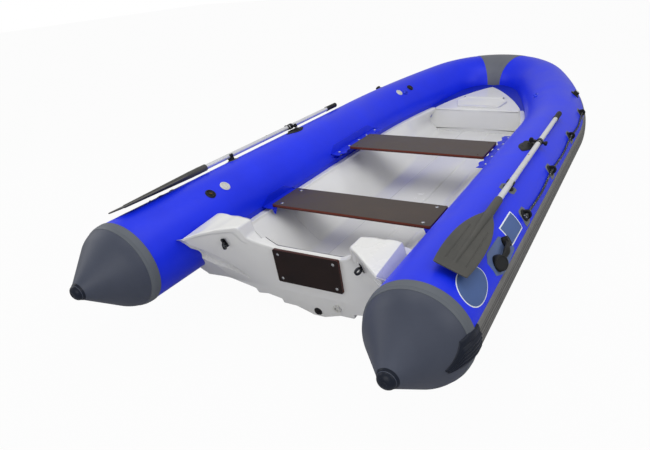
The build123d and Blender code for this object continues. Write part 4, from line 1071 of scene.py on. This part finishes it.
# %% [markdown]
# ## Valves and small fittings
# Each valve is a flanged ring with a recessed cap; the pale ones are relief valves
# with ridged covers. A lamp socket and a tie-down eye sit on each bow quarter.

# %% Valves
flange_ring = mm((29.5, -3), (30, 1.5), (28.5, 3.2), (26.5, 3.6), (24.5, 6.2), (22, 6.4), (20, 4))
deep = mm((18.5, 1.8), (12.5, 1.8), (11.8, 5), (9.5, 5.6), (8.5, 4.2), (0.4, 4.2))
ridged = mm((18, 4.6), (16.5, 6.2), (15, 4.6), (13.5, 6.2), (12, 4.6), (10, 6.4), (6, 6.8),
            (4.5, 5), (0.4, 5))
bar = box_outline(0.016, 0.0045, 0.0015)
for name, stations, inside, body_plastic, node, slot, bar_paint in (
        ("valve_inflation_caps", (0.834, 3.441), deep, black_plastic, "valve_dark_caps",
         "polyamide_black", 1),
        ("valve_relief_caps", (0.954, 3.27), ridged, pale_plastic, "valve_light_caps",
         "cap_white", 0)):
    caps = []
    for station in stations:
        spot, ahead, sideways, out = skin_frame(station, 126.0, -1)
        caps += [lathe(np.concatenate([flange_ring, inside]), spot, out, 56),
                 slab(bar, spot + out * 0.004, ahead * 0.8 + sideways * 0.6,
                      sideways * 0.8 - ahead * 0.6, out, 0.0028, 0.0008, bar_paint)]
    piece(name, caps, [body_plastic, brass_pin], [node])

# %% Bow quarter fittings
socket = mm((30, -8), (36, 1), (34, 4), (26, 6), (22.5, 10), (22, 24), (19.5, 27.5), (16.5, 28.5),
            (16, 26.2), (0.5, 26.2))
glint = mm((15, 25.8), (15.2, 28.5), (12, 31.5), (0.5, 32.2))
eye_pad = mm((0, -1), (1, 1.8), (8, 3.5), (14, 3.8))
lamp_spot, tie_spot = (3.337, 50.0), (3.333, 131.7)
t = np.linspace(0, np.pi, 16)[:, None]
for side_name, side in SIDES:
    spot, _, _, out = skin_frame(*lamp_spot, side)
    piece(f"lamp_socket_{side_name}",
          [lathe(socket, spot, out, 44), lathe(glint, spot, out, 44, paint=1),
           patch(side, *lamp_spot, oval(0.085, 0.075), lapped_edge)],
          [black_plastic, alloy])
    spot, ahead, sideways, out = skin_frame(*tie_spot, side)
    strap = spot + ahead * 0.022 * np.cos(t) + out * 0.016 * np.sin(t)
    piece(f"tie_eye_{side_name}",
          [patch(side, *tie_spot, oval(0.08, 0.05), eye_pad),
           rod(strap, 0.0052, 14, 2.2, lean=sideways)], [blue_gloss])

# %% [markdown]
# ## Oars
# Each oar is a hollow alloy tube with a moulded blade. The blade is a formula: a thin
# plate whose half width is read along its length, thickened by a round spine that
# grows into the socket, with a long groove on each side of it.

# %% Blades
oar_x, oar_level, blade_tilt = 0.88, 0.236, math.atan2(236.0, 90.0)
s = np.concatenate([[0.3995, 0.4], np.linspace(0.402, 0.9, 112), np.linspace(0.91, 1.05, 10)])
half_width = np.interp(s, [0.3995, 0.4, 0.402, 0.44, 0.5, 0.57, 0.64, 0.7, 0.76, 0.81, 0.85,
                           0.885, 1.05],
                       [0.064, 0.0665, 0.0685, 0.0735, 0.078, 0.0795, 0.0775, 0.0725, 0.0625,
                        0.0505, 0.0375, 0.0215, 0.02])
middle = slice(2, -10)
half_width[middle] = np.convolve(np.pad(half_width[middle], 4, "edge"), np.ones(9) / 9, "valid")
spine = np.interp(s, [0.44, 0.455, 0.6, 0.89, 0.92, 1.05],
                  [0.0, 0.0085, 0.012, 0.019, 0.02, 0.02])[:, None]
edge_half = np.interp(s, [0.3995, 0.4, 0.404, 0.88, 0.93], [0.001, 0.0025, 0.0042, 0.0046, 0.0])
swing = np.linspace(-np.pi / 2, np.pi / 2, 110)
across_share = 0.55 * np.sin(swing) + 0.45 * swing / (np.pi / 2)
uu = np.maximum(half_width[:, None], spine + 0.0002) * across_share
s = s[:, None]
plate_half = edge_half[:, None] * (1 - np.abs(across_share) ** 14) ** 0.5
thick = np.maximum(plate_half, np.sqrt(np.maximum(spine ** 2 - uu ** 2, 0)))
groove_length = smoothstep(0.446, 0.452, s) * (1 - smoothstep(0.735, 0.742, s))
for near, far in ((0.0386, 0.0342), (-0.0467, -0.044)):
    middle = np.interp(s, [0.45, 0.74], [near, far])
    thick = thick - 0.0026 * np.exp(-((uu - middle) / 0.0032) ** 4) * groove_length
    thick = thick - 0.002 * np.exp(-(((uu - far) ** 2 + (s - 0.738) ** 2) / 0.0045 ** 2))
thick = thick + 0.0012 * smoothstep(0.985, 0.99, s) * (1 - smoothstep(1.0, 1.005, s))


def on_blade(side, u, h):
    """Blade points u across and h out of its plane, which stands nearly upright."""
    sine, cosine = math.sin(blade_tilt), math.cos(blade_tilt)
    return place(side * (oar_x - sine * u + cosine * h), s, oar_level + cosine * u + sine * h)


for side_name, side in SIDES:
    shell = lined(on_blade(side, uu, thick), on_blade(side, uu[:, ::-1], -thick[:, ::-1]))
    piece(f"oar_blade_{side_name}_moulded", [shell], [blade_plastic],
          [f"oar_blade_{side_name}"], crease=32, body=f"oar_{side_name}")

# %% Grips, knobs and shaft details
rib_start, rib_pitch = 2.452, 0.0108
ribs = np.linspace(rib_start, 2.56, 66)
rib_radius = 0.0166 + 0.0009 * (np.sin((ribs - rib_start) * 2 * np.pi / rib_pitch) > 0)
grip_profile = np.concatenate([[(0.0155, 2.436), (0.0188, 2.437), (0.019, 2.444),
                                (0.0172, 2.448)], np.stack([rib_radius, ribs], 1),
                               [(0.0178, 2.563), (0.0182, 2.57), (0.017, 2.577),
                                (0.0135, 2.58), (0.0004, 2.581)]])
knob = mm((6.5, -2), (6.8, 4), (12.5, 6), (13.5, 10), (13.2, 18), (11.5, 21), (6, 21.5),
          (5.5, 19.5), (0.4, 19.5))
pin_head = mm((4.2, -0.5), (4.4, 0.8), (3.4, 1.2), (3, 0.4), (0.3, 0.3))
collar = mm((15.1, 1895), (17.2, 1896), (17.6, 1900), (17.6, 1906.5), (17.2, 1909), (15.1, 1910))
foot = mm((62, 0), (50, 34), (10, 46), (-40, 38), (-98, 6), (-104, -6), (-50, -36), (10, -44),
          (48, -32))
foot_edge = mm((0, -1), (0.5, 1.6), (4, 3), (16, 3.6), (22, 4.8))
knob_droop = math.radians(10)
for side_name, side in SIDES:
    oar, origin = f"oar_{side_name}", place(side * oar_x, 0.0, oar_level)
    outward = np.array([side * math.cos(knob_droop), 0, -math.sin(knob_droop)])
    knob_spot = place(side * oar_x, 1.935, oar_level) + outward * 0.0245
    pin_spot = place(side * oar_x, 1.655, oar_level + 0.0149)
    piece(f"oar_grip_{side_name}_ribbed", [lathe(grip_profile, origin, (0, 1, 0), 48)],
          [black_plastic], [f"oar_grip_{side_name}"], body=oar)
    piece(f"oarlock_knob_{side_name}",
          [lathe(knob, knob_spot, outward, 48), lathe(pin_head, pin_spot, up_way, 20, paint=1),
           lathe(collar, origin, (0, 1, 0), 40)],
          [black_plastic, brass_pin], body=oar)
    piece(f"oarlock_foot_{side_name}",
          [patch(side, 1.9, 84.0, rounded(foot, 0.016, 5), foot_edge)],
          [black_rubber])
    piece(f"oar_clip_{side_name}_patch",
          [patch(side, 1.27, 69.1, cut_square * 0.92, lapped_edge)], [eye_patch])

# %% Transom hardware
BOARD_RAKE = 0.025 / 0.39
board_out = unit([0, -1.0, -0.0641])
piece("transom_board_screws",
      [bolt(place(x, BOARD_AFT - BOARD_RAKE * (height - KNUCKLE) - 0.0154, height), board_out,
            0.0058, 0.003) for x in (-0.165, 0.165) for height in (-0.052, -0.198)],
      [steel])
plug_level = -0.396
low_out = unit([0, -1.0, -RAKE])
plug_spot = place(0.0, aft_station(0.0, plug_level), plug_level)
plug = mm((23.5, -1), (23.8, 3), (21.5, 5.2), (18, 5.6), (16.5, 10), (14, 10.8), (12.5, 8.5),
          (0.4, 8.5))
piece("drain_plug_moulded",
      [lathe(plug, plug_spot, low_out, 48),
       slab(box_outline(0.005, 0.022, 0.0015), plug_spot + low_out * 0.008, up_way, (1.0, 0, 0),
            low_out, 0.0035, 0.001)],
      [black_plastic], ["drain_plug"])

# %% [markdown]
# ## Studio
# A pale floor at the keel's level, since the boat is shown out of the water, a white
# surround, and four large soft lamps: one overhead, one to each side and one astern.

# %% Floor, world and lamps
FLOOR, REACH = -0.1205, 30
floor_mesh = bpy.data.meshes.new("studio_floor")
floor_mesh.from_pydata([(-REACH, -REACH, FLOOR), (REACH, -REACH, FLOOR), (REACH, REACH, FLOOR),
                        (-REACH, REACH, FLOOR)], [], [(0, 1, 2, 3)])
floor = bpy.data.objects.new("studio_floor", floor_mesh)
bpy.context.scene.collection.objects.link(floor)
paper, tree, shader = finish("studio_paper", "#b4b4b4", 0.9)
floor_mesh.materials.append(paper)
path = add(tree, "ShaderNodeLightPath")
white = add(tree, "ShaderNodeEmission", Color=(1, 1, 1, 1), Strength=1.0)
amount = add(tree, "ShaderNodeMath", {"operation": "MULTIPLY"}, _0=path.outputs["Is Camera Ray"],
             _1=0.96)
blend = add(tree, "ShaderNodeMixShader", _0=amount.outputs["Value"], _1=shader.outputs["BSDF"],
            _2=white.outputs["Emission"])
facing = add(tree, "ShaderNodeNewGeometry").outputs["Backfacing"]
through = add(tree, "ShaderNodeBsdfTransparent")
open_below = add(tree, "ShaderNodeMixShader", _0=facing, _1=blend.outputs["Shader"],
                 _2=through.outputs["BSDF"])
tree.links.new(open_below.outputs["Shader"], tree.nodes["Material Output"].inputs["Surface"])

world = bpy.data.worlds.new("studio")
bpy.context.scene.world = world
world.use_nodes = True
tree = world.node_tree
tree.nodes.clear()
path = add(tree, "ShaderNodeLightPath")
power = remapped(tree, path.outputs["Is Camera Ray"], 0.0, 1.0, 0.6, 1.0)
sky = add(tree, "ShaderNodeBackground", Color=(1, 1, 1, 1), Strength=power)
add(tree, "ShaderNodeOutputWorld", Surface=sky.outputs["Background"])

for name, where, size, watts, aim in (("lamp_over", (0.4, -0.6, 3.6), 3.2, 48, (0, 0, 0)),
                                      ("lamp_port", (-4.2, -2.2, 2.4), 2.6, 34, (0, 0, 0)),
                                      ("lamp_starboard", (4.4, -1.6, 2.8), 2.4, 40, (0, 0, 0)),
                                      ("lamp_stern", (0.6, -5.4, 1.7), 2.2, 40, (0, -1.2, 0.1))):
    lamp = bpy.data.lights.new(name, "AREA")
    lamp.energy, lamp.size = watts, size
    shining = bpy.data.objects.new(name, lamp)
    away = unit(np.subtract(where, aim))
    sideways = unit(np.cross([0, 0, 1.0], away))
    shining.matrix_world = standing([sideways, np.cross(away, sideways), away], where)
    bpy.context.scene.collection.objects.link(shining)
bpy.context.scene.view_settings.view_transform = "Standard"

# %% [markdown]
# ## Carried-over CAD nodes
# Pieces whose CAD shape is already right only need their finish.

# %% Finishes on CAD nodes
# the stern eyes' dark colour is a painted dark reflection on stainless steel
plain = {"bench_aft": bench_ply, "bench_forward": bench_ply, "transom_board": board_ply,
         "locker_hinges": steel, "drain_outlet": pale_plastic, "stern_eyes": steel_with_painted_dark_reflection,
         "bow_eye": steel}
for side_name, _ in SIDES:
    plain.update({f"oar_shaft_{side_name}": alloy, f"oarlock_base_{side_name}": black_rubber,
                  f"oar_clamp_{side_name}": black_plastic, f"oar_clip_{side_name}": black_rubber})
for name, material in plain.items():
    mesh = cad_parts[name].data
    mesh.materials.clear()
    mesh.materials.append(material)
print(len(plain), "CAD nodes refinished")
